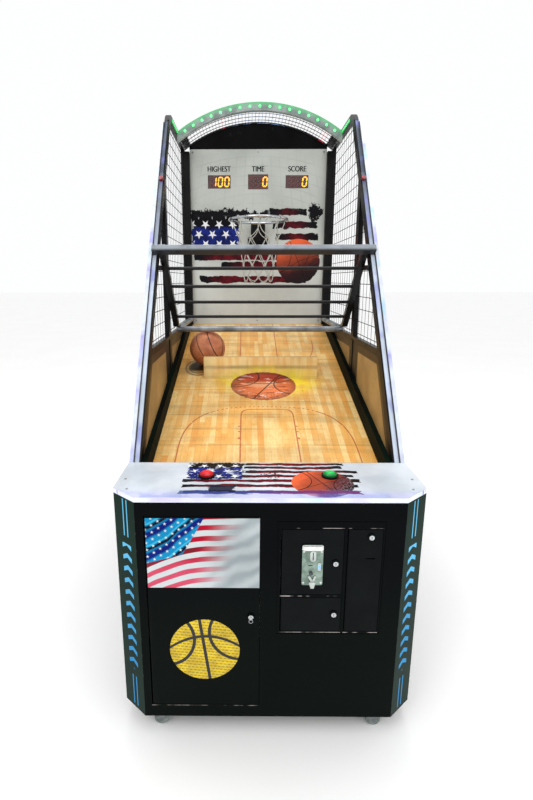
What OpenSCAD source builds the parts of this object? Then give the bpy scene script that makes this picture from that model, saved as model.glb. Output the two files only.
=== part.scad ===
// Basketball hoop machine: a coin-operated arcade game with a sloped court, a backboard with a
// hoop at the far end, wire-mesh sides, a guard cage and a player's cabinet with doors.
// X runs across the machine, +Y runs from the player to the backboard and +Z is up.
// The origin is on the floor under the middle of the machine. Depths named *_y or given as the
// second coordinate inside from_front() are counted back from the cabinet's front face.

/* [Overall] */
// Width over the player's deck
body_w = 1050; // [1000:10:1100]
// Depth over everything
overall_d = 2030; // [2020:5:2060]
// Height to the crown of the light arch
overall_h = 2608; // [2600:1:2620]

/* [Player's cabinet] */
// Depth of the cabinet
cab_d = 290; // [280:1:300]
// Height of the cabinet's underside above the floor
cab_z0 = 78; // [76:1:90]
// Height of the deck's top face
deck_top = 930; // [920:1:940]
// Thickness of the wooden boards
board_t = 18; // [16:1:20]
// Width of the chamfer on each front corner
chamfer_x = 85; // [70:1:95]
// Depth of the chamfer on each front corner
chamfer_y = 72; // [60:1:80]
// Thickness of the doors
door_t = 16; // [14:1:16]
// Gap round each door
door_gap = 1.5; // [1:0.1:2]
// Radius of the hinge pins
pin_r = 4; // [3:0.5:5]

/* [Court] */
// Height of the court's front edge
court_z0 = 844; // [835:1:850]
// Slope of the court in degrees
court_angle = 15.7; // [15:0.1:16]
// Width between the court's black skirts
court_w = 920; // [900:5:930]
// Height of the skirts
skirt_h = 75; // [60:1:85]
// Depth at which the ball gate stands
gate_y = 1136; // [1130:1:1140]
// Travel of the ball gate
gate_travel = 122; // [110:1:124]

/* [Side frames] */
// Half the distance between the insides of the frames
frame_in = 482; // [480:1:484]
// Half the distance over the frames
frame_out = 506; // [504:1:507]
// Depth at which the front and rear sections meet
joint_y = 1089; // [1080:1:1095]
// Height of the underside of the bottom rail
rail_z0 = 1290; // [1280:1:1300]
// Height of the top of the frames
frame_top = 2473; // [2460:1:2480]
// Mesh opening, centre to centre of the wires
mesh_pitch = 62; // [50:1:75]

/* [Backboard and hoop] */
// Depth of the backboard's front face
board_y = 1919; // [1915:1:1922]
// Half the width of the backboard
board_hw = 450; // [440:1:450]
// Height of the hoop
hoop_z = 1975; // [1950:1:2000]
// Depth of the hoop's centre
hoop_y = 1669; // [1660:1:1680]
// Outer diameter of the hoop
hoop_d = 368; // [350:1:380]
// Diameter of the hoop's rod
hoop_rod = 16; // [14:1:18]
// Radius of the ball
ball_r = 101; // [98:0.5:101]

/* [Hidden] */
$fn = 64;

// What stands proud of the front face and of the rear cover
proud_front = 14;
proud_rear = 3;
front_y = proud_front - overall_d / 2;
rear_y = overall_d - proud_front - proud_rear;
body_hw = body_w / 2;
deck_z0 = deck_top - board_t;
run_gap = 0.05;

// Doors as [left, right, bottom, top], and the centre of each lock
SERVICE = [-412, -33, 131, 863];
COIN = [37, 241, 579, 817];
CASH = [37, 241, 437, 565];
UTILITY = [254, 367, 437, 817];
SERVICE_LOCK = [-62, 492];
COIN_LOCK = [217, 696];
CASH_LOCK = [218, 503];
UTILITY_LOCK = [330, 792];
pin_reach = 4;
grille_r = 121;
grille_at = [-221, 358];
button_x = 218;
button_y = 165;
shelf_z = 432;
lock_r = 8.5;
cam_reach = 40;

// Coin acceptor
acceptor = [106, 175, 617, 764];
return_at = [136, 662];
return_r = 6.5;

// The court's upper surface and its underside at a depth y
function court_z(y) = court_z0 + (y - cab_d) * tan(court_angle);
court_drop = board_t / cos(court_angle);
court_end = board_y - 1;
gate_hw = 311;
gate_t = 14;
gate_top = court_z(gate_y) + 118;
gate_bottom = gate_top - 295;
rail_z1 = rail_z0 + 30;

// Rack and pinion of the gate
gear_module = 2;
pinion_teeth = 20;
pinion_r = gear_module * pinion_teeth / 2;
tooth_pitch = PI * gear_module;
tooth_half = tooth_pitch / 4 - 0.12;
addendum = 0.9 * gear_module;
dedendum = 1.25 * gear_module;
pinion_z = gate_bottom + 18;
rack_back = gate_y + gate_t / 2;
rack_pitch_y = rack_back + 4.5 + dedendum;
pinion_y = rack_pitch_y + pinion_r;

// Slanted front posts: centre line, and the bend to the top bar
slant = 56.6;
tube_d = 40;
tube_t = 2;
slant_start = cab_d + 34;
top_c = frame_top - tube_d / 2;
function slant_y(z) = slant_start + (z - deck_top) / tan(slant);
function slant_z(y) = deck_top + (y - slant_start) * tan(slant);
// A point beside the centre line at height z, d towards the player
function slant_at(z, d) = [slant_y(z) - d * sin(slant), z + d * cos(slant)];
bend_r = 100;
bend_run = bend_r * tan(slant / 2);
bend_c = [slant_y(top_c) + bend_run, top_c - bend_r];
bend_start = [slant_y(top_c) - bend_run * cos(slant), top_c - bend_run * sin(slant)];
frame_mid = (frame_in + frame_out) / 2;
post_d = 27;
post_rear = [1890, 1940];
inner_post_top = 2425;
led_out = 19;

// Guard cage, as depths and heights
guard_bar = slant_at(1721, tube_d / 2 + 19);
guard_side = [[826, 1758], [1222, 1350]];
GUARD_BARS = [[919, 1663], [1003, 1577], [1081, 1496], [1159, 1415]];
pipe_r = 16;
pipe_z = 1340;
pipe_y = 1231;
pipe_x = 463;
pipe_bend = 50;

// Header: the arc's centre height and radii
arch_r = 818;
arch_c = overall_h - arch_r;
arch_band = 45;
arch_y = 1575;
arch_d = 30;
roof_r = arch_r - 8;
board_z = [1302, 2444];

// Score displays as [centre x, width, height]
DISPLAYS = [[-258, 150, 82], [0, 132, 92], [258, 150, 80]];
display_z = 2244;

ball_at = [-300, 1270];

// Casters as [swivel x, swivel y], and the side to which each wheel trails
trail = 20;
wheel_r = 27;
wheel_z = wheel_r + 0.5;
axle_r = 4;
CASTERS = [[-370, 46], [370, 46], [-440, 1955], [440, 1955]];
FEET = [[480, 230], [460, 1080], [460, 1840]];

// ---- shared shapes ----

// Moves depths counted from the front face into the machine's frame.
module from_front() translate([0, front_y, 0]) children();

// A block between two opposite corners.
module block(a, b) translate(a) cube(b - a);

// Extrudes a (depth, height) outline along X from x0 to x1.
module across(x0, x1) translate([x0, 0, 0]) rotate([90, 0, 90]) linear_extrude(x1 - x0) children();

// Extrudes an (x, height) outline along Y from y0 to y1.
module along(y0, y1) translate([0, y1, 0]) rotate([90, 0, 0]) linear_extrude(y1 - y0) children();

// Draws its children on the right and, mirrored, on the left.
module both_sides() for (side = [0, 1]) mirror([side, 0, 0]) children();

module rod_x(x0, x1, y, z, r) translate([x0, y, z]) rotate([0, 90, 0]) cylinder(r = r, h = x1 - x0);
module rod_y(x, y0, y1, z, r) translate([x, y0, z]) rotate([-90, 0, 0]) cylinder(r = r, h = y1 - y0);
module rod_z(x, y, z0, z1, r) translate([x, y, z0]) cylinder(r = r, h = z1 - z0);

// A flat bar of width w whose centre line runs from p to q.
module bar_2d(p, q, w) {
    d = q - p;
    translate(p) rotate(atan2(d[1], d[0])) translate([0, -w / 2]) square([norm(d), w]);
}

// A rectangle with round corners, centred on the origin.
module rounded_2d(w, h, r) {
    square([w - 2 * r, h], center = true);
    square([w, h - 2 * r], center = true);
    for (x = [-1, 1], y = [-1, 1]) translate([x * (w / 2 - r), y * (h / 2 - r)]) circle(r);
}

// The cabinet's plan, drawn t inside its outer faces.
module cabinet_plan(t) {
    side = norm([chamfer_x, chamfer_y]);
    hw = body_hw - t;
    // the chamfer's line, moved inwards by t
    front_hw = body_hw - chamfer_x + (t * chamfer_x - t * side) / chamfer_y;
    corner_y = chamfer_y + (t * side - t * chamfer_y) / chamfer_x;
    polygon([
        [-front_hw, t], [front_hw, t], [hw, corner_y], [hw, cab_d - t],
        [-hw, cab_d - t], [-hw, corner_y]
    ]);
}

// ---- cabinet ----

module door_opening(d) {
    block([d[0] - door_gap, -1, d[2] - door_gap], [d[1] + door_gap, board_t + 1, d[3] + door_gap]);
    reach = door_gap + pin_reach + 0.3;
    rod_z(d[0] + door_t / 2, door_t / 2, d[2] - reach, d[3] + reach, pin_r + run_gap);
}

// A door leaf with its round hinge edge and its top and bottom pins.
module door_leaf(d) {
    translate([0, 0, d[2]]) linear_extrude(d[3] - d[2]) {
        translate([d[0] + door_t / 2, 0]) square([d[1] - d[0] - door_t / 2, door_t]);
        translate([d[0] + door_t / 2, door_t / 2]) circle(door_t / 2);
    }
    reach = door_gap + pin_reach;
    rod_z(d[0] + door_t / 2, door_t / 2, d[2] - reach, d[3] + reach, pin_r);
}

// A pressed-steel door: a leaf hollowed from behind, with its lock barrel.
module steel_door(d, lock) {
    difference() {
        union() {
            difference() {
                door_leaf(d);
                block([d[0] + door_t + 2, 2, d[2] + 2], [d[1] - 2, door_t + 1, d[3] - 2]);
            }
            lock_barrel(lock);
        }
        lock_bore(lock);
    }
}

module lock_barrel(at) {
    rod_y(at[0], -4, 0, at[1], 13);
    rod_y(at[0], -0.5, door_t + 2, at[1], 11);
}

module lock_bore(at) rod_y(at[0], -5, door_t + 3, at[1], lock_r + run_gap);

// The turning core of a lock. The cam points along turn (degrees from +X towards +Z).
module lock_core(at, turn) {
    from_front() translate([at[0], 0, at[1]]) {
        difference() {
            rod_y(0, -6, door_t + 7, 0, lock_r);
            block([-1, -7, -5], [1, 2, 5]);
        }
        rotate([0, -turn, 0]) {
            block([0, door_t + 4, -6], [cam_reach - 6, door_t + 7, 6]);
            rod_y(cam_reach - 6, door_t + 4, door_t + 7, 0, 6);
        }
    }
}

module front_cabinet() color("#17181b") from_front() {
    difference() {
        translate([0, 0, cab_z0]) linear_extrude(deck_z0 - cab_z0) cabinet_plan(0);
        translate([0, 0, cab_z0 + board_t]) linear_extrude(deck_z0) cabinet_plan(board_t);
        for (d = [SERVICE, COIN, CASH, UTILITY]) door_opening(d);
        // service hatch through the back wall
        block([-400, cab_d - board_t - 1, 150], [400, cab_d + 1, 760]);
        // groove round the coin section
        along(-1, 1.6) difference() {
            translate([24, 424]) square([352, 424]);
            translate([26.5, 426.5]) square([347, 419]);
        }
    }
    // shelf under the cash box
    translate([0, 0, shelf_z - 12]) linear_extrude(12) intersection() {
        cabinet_plan(board_t - 0.5);
        translate([18, 0]) square([body_hw, cab_d]);
    }
}

module deck_band() {
    translate([0, 0, deck_z0 + 2]) linear_extrude(board_t - 4) difference() {
        intersection() {
            cabinet_plan(0);
            translate([-body_w, -1]) square([2 * body_w, chamfer_y]);
        }
        cabinet_plan(4);
    }
}

module deck() color("#e9ebee") from_front() difference() {
    translate([0, 0, deck_z0]) linear_extrude(board_t) cabinet_plan(0);
    deck_band();
    for (x = [-button_x, button_x]) rod_z(x, button_y, deck_z0 - 1, deck_top + 1, 12);
}

// Diffuser strips on the slanted posts, green strips under the top bars and the deck's edge band.
module light_strips() color("#eef0ff") from_front() {
    deck_band();
    both_sides() {
        across(frame_out, frame_out + led_out) intersection() {
            bar_2d(slant_at(700, 3), slant_at(2398, 3), tube_d + 6);
            translate([cab_d + 0.5, 0]) square([1500, 3000]);
        }
        block([frame_in - 5, bend_c[0], frame_top - 30], [frame_in, arch_y - 1, frame_top - 16]);
    }
}

// Countersunk screws in the deck and the backboard, shown by their heads.
module panel_screws() color("#9a9ca0") from_front() {
    both_sides() for (p = [[476, 61], [500, 140]]) rod_z(p[0], p[1], deck_top, deck_top + 1.5, 4);
    for (x = [-430, 0, 430], z = [board_z[0] + 28, board_z[1] - 18])
        rod_y(x, board_y - 2, board_y, z, 5);
}

module button_bezel(x) translate([x, button_y, 0]) difference() {
    union() {
        rod_z(0, 0, deck_top, deck_top + 7, 30);
        rod_z(0, 0, deck_top - 45, deck_top + 1, 11.9);
        rod_z(0, 0, deck_z0 - 8, deck_z0 - 0.1, 18);
    }
    rod_z(0, 0, deck_top + 2, deck_top + 8, 25.5);
    rod_z(0, 0, deck_top - 46, deck_top + 3, 9);
}

module button_bezels() color("#141414") from_front() for (x = [-button_x, button_x]) button_bezel(x);

// A domed push button on its stem, which slides in the bezel's neck.
module push_button(x) from_front() translate([x, button_y, deck_top]) {
    cap = 9;
    cap_r = (25 * 25 + cap * cap) / (2 * cap);
    rod_z(0, 0, 6.5, 11, 25);
    intersection() {
        translate([0, 0, 11 + cap - cap_r]) sphere(cap_r);
        rod_z(0, 0, 10.5, 11 + cap, 25);
    }
    rod_z(0, 0, -38, 7, 9 - run_gap);
}

module red_button() color("#d3202a") push_button(-button_x);
module green_button() color("#12a84c") push_button(button_x);

module service_door() color("#17181b") from_front() difference() {
    union() {
        door_leaf(SERVICE);
        lock_barrel(SERVICE_LOCK);
    }
    lock_bore(SERVICE_LOCK);
    rod_y(grille_at[0], -1, 4, grille_at[1], grille_r + 0.3);
    rod_y(grille_at[0], -1, door_t + 1, grille_at[1], 100);
}

module speaker_grille() color("#f0d21c") from_front()
    rod_y(grille_at[0], 0.5, 4, grille_at[1], grille_r);

module speaker() color("#2a2a2c") from_front() translate([grille_at[0], 0, grille_at[1]])
    rotate([-90, 0, 0]) rotate_extrude() polygon([
        [92, 16], [112, 16], [112, 22], [98, 22], [48, 66], [58, 66], [58, 94], [0, 94],
        [0, 58], [30, 58]
    ]);

module coin_door() color("#1a1b1e") from_front() difference() {
    steel_door(COIN, COIN_LOCK);
    block([acceptor[0] + 5, -1, acceptor[2] + 12], [acceptor[1] - 5, door_t, acceptor[3] - 13]);
}

// Coin plate with its lip, slot and return chute, and the mechanism's case behind it.
module coin_acceptor() color("#b9bfc2") from_front() difference() {
    mid_x = (acceptor[0] + acceptor[1]) / 2;
    union() {
        translate([mid_x, 0, (acceptor[2] + acceptor[3]) / 2]) along(-4, 0)
            rounded_2d(acceptor[1] - acceptor[0], acceptor[3] - acceptor[2], 6);
        translate([mid_x, 0, acceptor[3] - 9]) along(-10, -3.5) rounded_2d(65, 15, 5);
        along(-8, -3.5) polygon([
            [mid_x - 15, 652], [mid_x - 3, 628], [mid_x + 6, 628], [mid_x + 12, 652],
            [mid_x + 7, 652], [mid_x + 1, 637], [mid_x - 8, 652]
        ]);
        along(-proud_front, -3.5) polygon([
            [mid_x - 12, 632], [mid_x - 5, 611], [mid_x + 5, 611], [mid_x + 10, 632]
        ]);
        translate([mid_x + 1, 0, 725]) along(-7, -3.5) rounded_2d(20, 38, 9);
        block([mid_x + 17, -6, 672], [mid_x + 28, -3.5, 700]);
        difference() {
            block([acceptor[0] + 5.5, -0.5, acceptor[2] + 12.5], [acceptor[1] - 5.5, 75, acceptor[3] - 13.5]);
            block([acceptor[0] + 7.5, 1, acceptor[2] + 14.5], [acceptor[1] - 7.5, 76, acceptor[3] - 15.5]);
        }
        rod_y(return_at[0], 0, 26, return_at[1], return_r + 4);
    }
    block([mid_x - 0.5, -8, 711], [mid_x + 2.5, 30, 739]);
    rod_y(return_at[0], -14, 22, return_at[1], return_r);
}

module coin_return_button() color("#3a3d40") from_front()
    rod_y(return_at[0], -9, 17, return_at[1], return_r - run_gap);

module cash_door() color("#1a1b1e") from_front() steel_door(CASH, CASH_LOCK);

module utility_door() color("#1a1b1e") from_front() difference() {
    steel_door(UTILITY, UTILITY_LOCK);
    block([314, -1, 711], [346, 3, 715]);
}

module cash_box() color("#8c8f93") from_front() difference() {
    block([52, 32, shelf_z], [228, 252, shelf_z + 120]);
    block([54, 34, shelf_z + 2], [226, 250, shelf_z + 121]);
}

module service_lock() color("#c9ccd0") lock_core(SERVICE_LOCK, -90);
module coin_lock() color("#c9ccd0") lock_core(COIN_LOCK, -90);
module cash_lock() color("#c9ccd0") lock_core(CASH_LOCK, -90);
module utility_lock() color("#c9ccd0") lock_core(UTILITY_LOCK, 180);

// ---- court and ball gate ----

// The slot in which the gate moves, widened by g on every side.
module gate_slot(g) block(
    [-gate_hw - g, gate_y - gate_t / 2 - g, 600],
    [gate_hw + g, gate_y + gate_t / 2 + g, 1300]
);

module court() color("#e0b574") from_front() difference() {
    across(-frame_in + 0.3, frame_in - 0.3) polygon([
        [cab_d + 0.5, court_z(cab_d + 0.5) - court_drop], [court_end, court_z(court_end) - court_drop],
        [court_end, court_z(court_end)], [cab_d + 0.5, court_z(cab_d + 0.5)]
    ]);
    gate_slot(2);
}

module court_skirts() color("#101113") from_front() {
    end = post_rear[0] - 2;
    top = pipe_z - pipe_r - 5;
    level_from = cab_d + (top - skirt_h - court_z0) / tan(court_angle);
    both_sides() across(court_w / 2, frame_in - 0.3) polygon([
        [cab_d + 0.5, court_z(cab_d + 0.5)], [end, court_z(end)], [end, top], [level_from, top],
        [cab_d + 0.5, court_z(cab_d + 0.5) + skirt_h]
    ]);
}

module ball_gate() color("#dcae6a") from_front() block(
    [-gate_hw, gate_y - gate_t / 2, gate_bottom],
    [gate_hw, gate_y + gate_t / 2, gate_top]
);

// Straight-sided rack on the back of the gate.
module gate_rack() color("#d8d8d2") from_front() across(-8, 8) {
    root = rack_pitch_y - dedendum;
    tip = rack_pitch_y + addendum;
    lean = tan(20);
    first = gate_bottom + 6;
    count = 22;
    translate([rack_back, first]) square([root - rack_back, count * tooth_pitch]);
    for (i = [0 : count - 2]) {
        z = pinion_z + (i - 1) * tooth_pitch;
        polygon([
            [root - 0.1, z - tooth_half - lean * dedendum], [tip, z - tooth_half + lean * addendum],
            [tip, z + tooth_half - lean * addendum], [root - 0.1, z + tooth_half + lean * dedendum]
        ]);
    }
}

// Half the angle that a tooth of the pinion covers at radius r, from its involute flank.
function roll(r) = sqrt(max(pow(r / (pinion_r * cos(20)), 2) - 1, 0));
function flank(r) = tooth_half / pinion_r * 180 / PI
    + (roll(pinion_r) - roll(r)) * 180 / PI - atan(roll(pinion_r)) + atan(roll(r));

module gate_pinion() color("#c9a23a") from_front() translate([0, pinion_y, pinion_z]) {
    root = pinion_r - dedendum;
    radii = [root, 18.9, 19.5, pinion_r, 20.6, 21.2, pinion_r + addendum];
    n = len(radii);
    across(-7, 7) {
        circle(root + 0.1);
        for (i = [0 : pinion_teeth - 1]) rotate((i + 0.5) * 360 / pinion_teeth) polygon([
            for (k = [0 : n - 1]) radii[k] * [cos(flank(radii[k])), sin(flank(radii[k]))],
            for (k = [n - 1 : -1 : 0]) radii[k] * [cos(flank(radii[k])), -sin(flank(radii[k]))]
        ]);
    }
    rod_x(6.5, 40, 0, 0, 4);
}

module gate_motor() color("#6f7377") from_front() difference() {
    union() {
        rod_x(18, 84, pinion_y, pinion_z, 20);
        rod_x(84, 90, pinion_y, pinion_z, 6);
        // bracket up to the court's underside
        across(14, 18.5) polygon([
            [pinion_y - 16, pinion_z - 24], [pinion_y + 26, pinion_z - 24],
            [pinion_y + 26, court_z(pinion_y + 26) - court_drop - 0.2],
            [pinion_y - 16, court_z(pinion_y - 16) - court_drop - 0.2]
        ]);
    }
    rod_x(10, 42, pinion_y, pinion_z, 4 + run_gap);
}

// Channels that hold the two ends of the gate, hung from the court's underside.
module gate_guides() color("#5b5e62") from_front() both_sides() difference() {
    y0 = gate_y - 16;
    y1 = gate_y + 16;
    across(gate_hw - 8, gate_hw + 12) polygon([
        [y0, gate_bottom - gate_travel - 6], [y1, gate_bottom - gate_travel - 6],
        [y1, court_z(y1) - court_drop - 0.2], [y0, court_z(y0) - court_drop - 0.2]
    ]);
    block([gate_hw - 9, gate_y - gate_t / 2 - 0.5, 600], [gate_hw + 1, gate_y + gate_t / 2 + 0.5, 1300]);
}

module basketball() color("#a4532c") from_front()
    translate([ball_at[0], ball_at[1], court_z(ball_at[1]) + (ball_r + 0.4) / cos(court_angle)])
        difference() {
            sphere(ball_r);
            sphere(ball_r - 6);
        }

// ---- sides ----

module side_panels() color("#1b1b1d") from_front() both_sides() across(frame_in, frame_in + board_t) {
    low = tube_d / 2 / sin(slant) + 0.3;
    y0 = cab_d + 0.5;
    top = rail_z0 - 0.2;
    polygon([
        [y0, cab_z0], [joint_y - 0.2, cab_z0], [joint_y - 0.2, top], [slant_y(top) + low, top],
        [y0, slant_z(y0 - low)]
    ]);
    translate([joint_y + 0.2, cab_z0]) square([rear_y - 13 - joint_y, top - cab_z0]);
}

// The timber frame under the court.
module base_frame() color("#2b2d30") from_front() {
    beam = 40;
    both_sides() block([frame_in - beam, cab_d + 2, cab_z0], [frame_in - 2, rear_y - 14, cab_z0 + beam]);
    for (y = [cab_d + 2, joint_y - beam, rear_y - 14 - beam])
        block([-frame_in + 10, y, cab_z0], [frame_in - 10, y + beam, cab_z0 + beam]);
    for (y = [cab_d + 2, joint_y - beam, 1850]) {
        top = court_z(y) - court_drop - 1;
        both_sides() block([frame_in - beam, y, cab_z0 + 1], [frame_in - 2, y + beam, top]);
        block([-frame_in + 10, y, top - beam], [frame_in - 10, y + beam, top]);
    }
}

module slant_bar_2d(t) bar_2d([slant_y(700), 700], bend_start, tube_d - 2 * t);

// The side frames as (depth, height) outlines, drawn t inside their outer faces.
module front_frame_2d(t) intersection() {
    y0 = joint_y - post_d + t;
    union() {
        slant_bar_2d(t);
        polygon([
            [slant_y(rail_z0), rail_z0 + t], [joint_y, rail_z0 + t], [joint_y, rail_z1 - t],
            [slant_y(rail_z1), rail_z1 - t]
        ]);
        polygon([
            [y0, rail_z0 + 1 + t], [joint_y, rail_z0 + 1 + t], [joint_y, slant_z(joint_y)],
            [y0, slant_z(y0)]
        ]);
    }
    translate([cab_d + 0.5 + t, 0]) square([joint_y - cab_d - 0.7 - 2 * t, 3000]);
}

module rear_frame_2d(t) {
    y1 = joint_y + post_d - t;
    end = post_rear[1] - t;
    intersection() {
        union() {
            slant_bar_2d(t);
            polygon([
                [joint_y, rail_z0 + 1 + t], [y1, rail_z0 + 1 + t], [y1, slant_z(y1)],
                [joint_y, slant_z(joint_y)]
            ]);
        }
        translate([joint_y + 0.2 + t, 0]) square([500, 3000]);
    }
    intersection() {
        translate(bend_c) difference() {
            circle(bend_r + tube_d / 2 - t);
            circle(bend_r - tube_d / 2 + t);
        }
        polygon([bend_c, bend_c + [-240 * sin(slant), 240 * cos(slant)], bend_c + [0, 240]]);
    }
    translate([bend_c[0], frame_top - tube_d + t]) square([end - bend_c[0], tube_d - 2 * t]);
    translate([joint_y + 0.2 + t, rail_z0 + t]) square([end - joint_y - 0.2 - t, rail_z1 - rail_z0 - 2 * t]);
    translate([post_rear[0] + t, rail_z0 + 1 + t])
        square([end - post_rear[0] - t, frame_top - rail_z0 - 2 - 2 * t]);
}

// A weep hole from a frame's hollow through the underside of its rail.
module weep_hole(y) rod_z(frame_mid, y, rail_z0 - 1, rail_z0 + 6, 3);

module net_frames_front() color("#121214") from_front() both_sides() difference() {
    across(frame_in, frame_out) front_frame_2d(0);
    across(frame_in + tube_t, frame_out - tube_t) front_frame_2d(tube_t);
    weep_hole(joint_y - 60);
}

// Rear frames, each with the inner post that carries the backboard and the strip over the joint.
module net_frames_rear() color("#121214") from_front() both_sides() {
    difference() {
        across(frame_in, frame_out) rear_frame_2d(0);
        across(frame_in + tube_t, frame_out - tube_t) rear_frame_2d(tube_t);
        weep_hole(joint_y + 60);
    }
    difference() {
        block([board_hw + 1, post_rear[0], 1306], [frame_in + 1, post_rear[1], inner_post_top]);
        block(
            [board_hw + 1 + tube_t, post_rear[0] + tube_t, 1305],
            [frame_out, post_rear[1] - tube_t, inner_post_top - tube_t]
        );
    }
    strip = [joint_y - 37, joint_y + 23];
    across(frame_in - 4, frame_in - 0.2) polygon([
        [strip[0], court_z(strip[0]) + skirt_h + 1], [strip[1], court_z(strip[1]) + skirt_h + 1],
        [strip[1], rail_z0 + 10], [strip[0], rail_z0 + 10]
    ]);
    block([frame_in - 4, joint_y + 3, rail_z0 + 1], [frame_in + 1, joint_y + 23, rail_z0 + 10]);
}

// Wires that fill a frame from its bottom rail to the slant and the top bar.
module mesh_2d(y0, y1, top) {
    low = tube_d / 2 / sin(slant) + 0.5;
    wire = 3;
    for (y = [y0 + 20 : mesh_pitch : y1 - 10])
        translate([y - wire / 2, rail_z1])
            square([wire, min(top, slant_z(y - wire / 2 - low)) - rail_z1]);
    for (z = [rail_z1 + 20 : mesh_pitch : top - 10]) {
        left = max(y0, slant_y(z + wire / 2) + low);
        if (left < y1 - mesh_pitch - 4) translate([left, z - wire / 2]) square([y1 - left, wire]);
    }
}

module side_meshes() color("#202022") from_front() both_sides() across(frame_mid - 1.5, frame_mid + 1.5) {
    front_end = joint_y - post_d;
    mesh_2d(slant_y(rail_z1) + 26, front_end, slant_z(front_end));
    mesh_2d(joint_y + post_d, post_rear[0], frame_top - tube_d);
}

// Knobs that clamp the front and rear sections together.
module section_knobs() color("#c6c8cc") from_front() both_sides()
    translate([frame_mid, slant_y(2075), 2075]) rotate([slant - 90, 0, 0]) {
        rod_y(0, -tube_d / 2 - 8, -tube_d / 2 - 0.1, 0, 4);
        rod_y(0, -tube_d / 2 - 20, -tube_d / 2 - 7, 0, 11);
    }

// ---- guard ----

module guard_cage() color("#2a2c30") from_front() {
    foot = pipe_z + pipe_r + 0.4;
    across(-frame_out + 0.2, frame_out - 0.2) translate(guard_bar) rotate(slant) difference() {
        rounded_2d(32, 38, 5);
        rounded_2d(28, 34, 3);
    }
    both_sides() {
        across(450, 480) intersection() {
            bar_2d(guard_side[0], guard_side[1], 28);
            translate([700, foot]) square([700, 500]);
        }
        // lug that rests on the lower pipe
        block([450.5, 1196, foot + 0.5], [479.5, 1290, foot + 5]);
        block([452, 1285, foot], [474, 1290, foot + 5]);
        // tie to the slanted post
        block([470, 800, 1652], [frame_in - 0.2, 925, 1674]);
    }
    for (p = GUARD_BARS) rod_x(-455, 455, p[0], p[1], 8);
}

module guard_lower_pipe() color("#3a3d42") from_front() {
    rod_x(-pipe_x + pipe_bend, pipe_x - pipe_bend, pipe_y, pipe_z, pipe_r);
    both_sides() {
        translate([pipe_x - pipe_bend, pipe_y + pipe_bend, pipe_z]) rotate([0, 0, -90])
            rotate_extrude(angle = 90) translate([pipe_bend, 0]) circle(pipe_r);
        rod_y(pipe_x, pipe_y + pipe_bend, post_rear[0] - 0.2, pipe_z, pipe_r);
    }
}

// ---- backboard and hoop ----

module backboard() color("#cfd2d0") from_front() difference() {
    block([-board_hw, board_y, board_z[0]], [board_hw, board_y + 12, board_z[1]]);
    for (d = DISPLAYS) block(
        [d[0] - d[1] / 2 - 0.4, board_y - 1, display_z - d[2] / 2 - 0.4],
        [d[0] + d[1] / 2 + 0.4, board_y + 13, display_z + d[2] / 2 + 0.4]
    );
}

module score_displays() color("#40100f") from_front() for (d = DISPLAYS) {
    translate([d[0], 0, display_z]) {
        block([-d[1] / 2, board_y + 1, -d[2] / 2], [d[1] / 2, board_y + 14, d[2] / 2]);
        block(
            [-d[1] / 2 - 10, board_y + 12.2, -d[2] / 2 - 10],
            [d[1] / 2 + 10, board_y + 34, d[2] / 2 + 10]
        );
    }
}

module hoop_ring() color("#c8cacc") from_front() {
    major = (hoop_d - hoop_rod) / 2;
    translate([0, hoop_y, hoop_z]) rotate_extrude() translate([major, 0]) circle(hoop_rod / 2);
    low = hoop_z - hoop_rod / 2;
    block([-40, hoop_y + major - 4, low], [40, hoop_y + major + 32, low + 6]);
}

module hoop_bracket() color("#141416") from_front() {
    top = hoop_z - hoop_rod / 2 - 0.2;
    across(-47, 47) polygon([
        [board_y, 1852], [board_y, top], [hoop_y + 172, top], [hoop_y + 172, top - 14],
        [board_y - 46, 1852]
    ]);
    block([-68, board_y - 10, 1840], [68, board_y, 1892]);
}

// The cord net, as a thin sleeve open at both ends.
module hoop_net() color("#e8e8e4") from_front() translate([0, hoop_y, 0]) rotate_extrude() polygon([
    [163, 1966], [166, 1966], [118, 1833], [104, 1702], [85, 1590],
    [82, 1590], [101, 1702], [115, 1833]
]);

module score_sensor() color("#26282c") from_front() {
    block([-30, board_y - 26, 1790], [30, board_y, 1834]);
    rod_y(-14, board_y - 30, board_y - 25, 1812, 7);
    rod_y(14, board_y - 30, board_y - 25, 1812, 7);
}

// ---- header ----

// Ring of the header's arc between radii r0 and r1, as far as x = hw on each side.
module arc_2d(r0, r1, hw) intersection() {
    translate([0, arch_c]) difference() {
        circle(r1, $fn = 128);
        circle(r0, $fn = 128);
    }
    translate([-hw, arch_c + 300]) square([2 * hw, 700]);
}

module header_panel() color("#0e0e10") from_front() along(board_y, board_y + 12) intersection() {
    translate([0, arch_c]) circle(arch_r - 1, $fn = 128);
    translate([-board_hw - 0.8, board_z[1] + 0.5]) square([2 * board_hw + 1.6, 400]);
}

module light_arch() color("#a9b0b0") from_front()
    along(arch_y, arch_y + arch_d) arc_2d(arch_r - arch_band, arch_r, frame_in - 0.2);

// Barrel-shaped wire roof between the arch and the header panel.
module roof_mesh() color("#2a2a2c") from_front() {
    y0 = arch_y + arch_d + 0.2;
    y1 = board_y - 0.2;
    rows = 5;
    for (i = [0 : rows]) {
        y = y0 + 4 + i * (y1 - y0 - 8) / rows;
        along(y - 2, y + 2) arc_2d(roof_r - 4, roof_r, frame_in - 0.2);
    }
    step = 3;
    for (a = [-33 : step : 33]) translate([0, 0, arch_c]) rotate([0, a, 0])
        block([-1.5, y0, roof_r - 3.4], [1.5, y1, roof_r - 0.6]);
}

// ---- back ----

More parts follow.
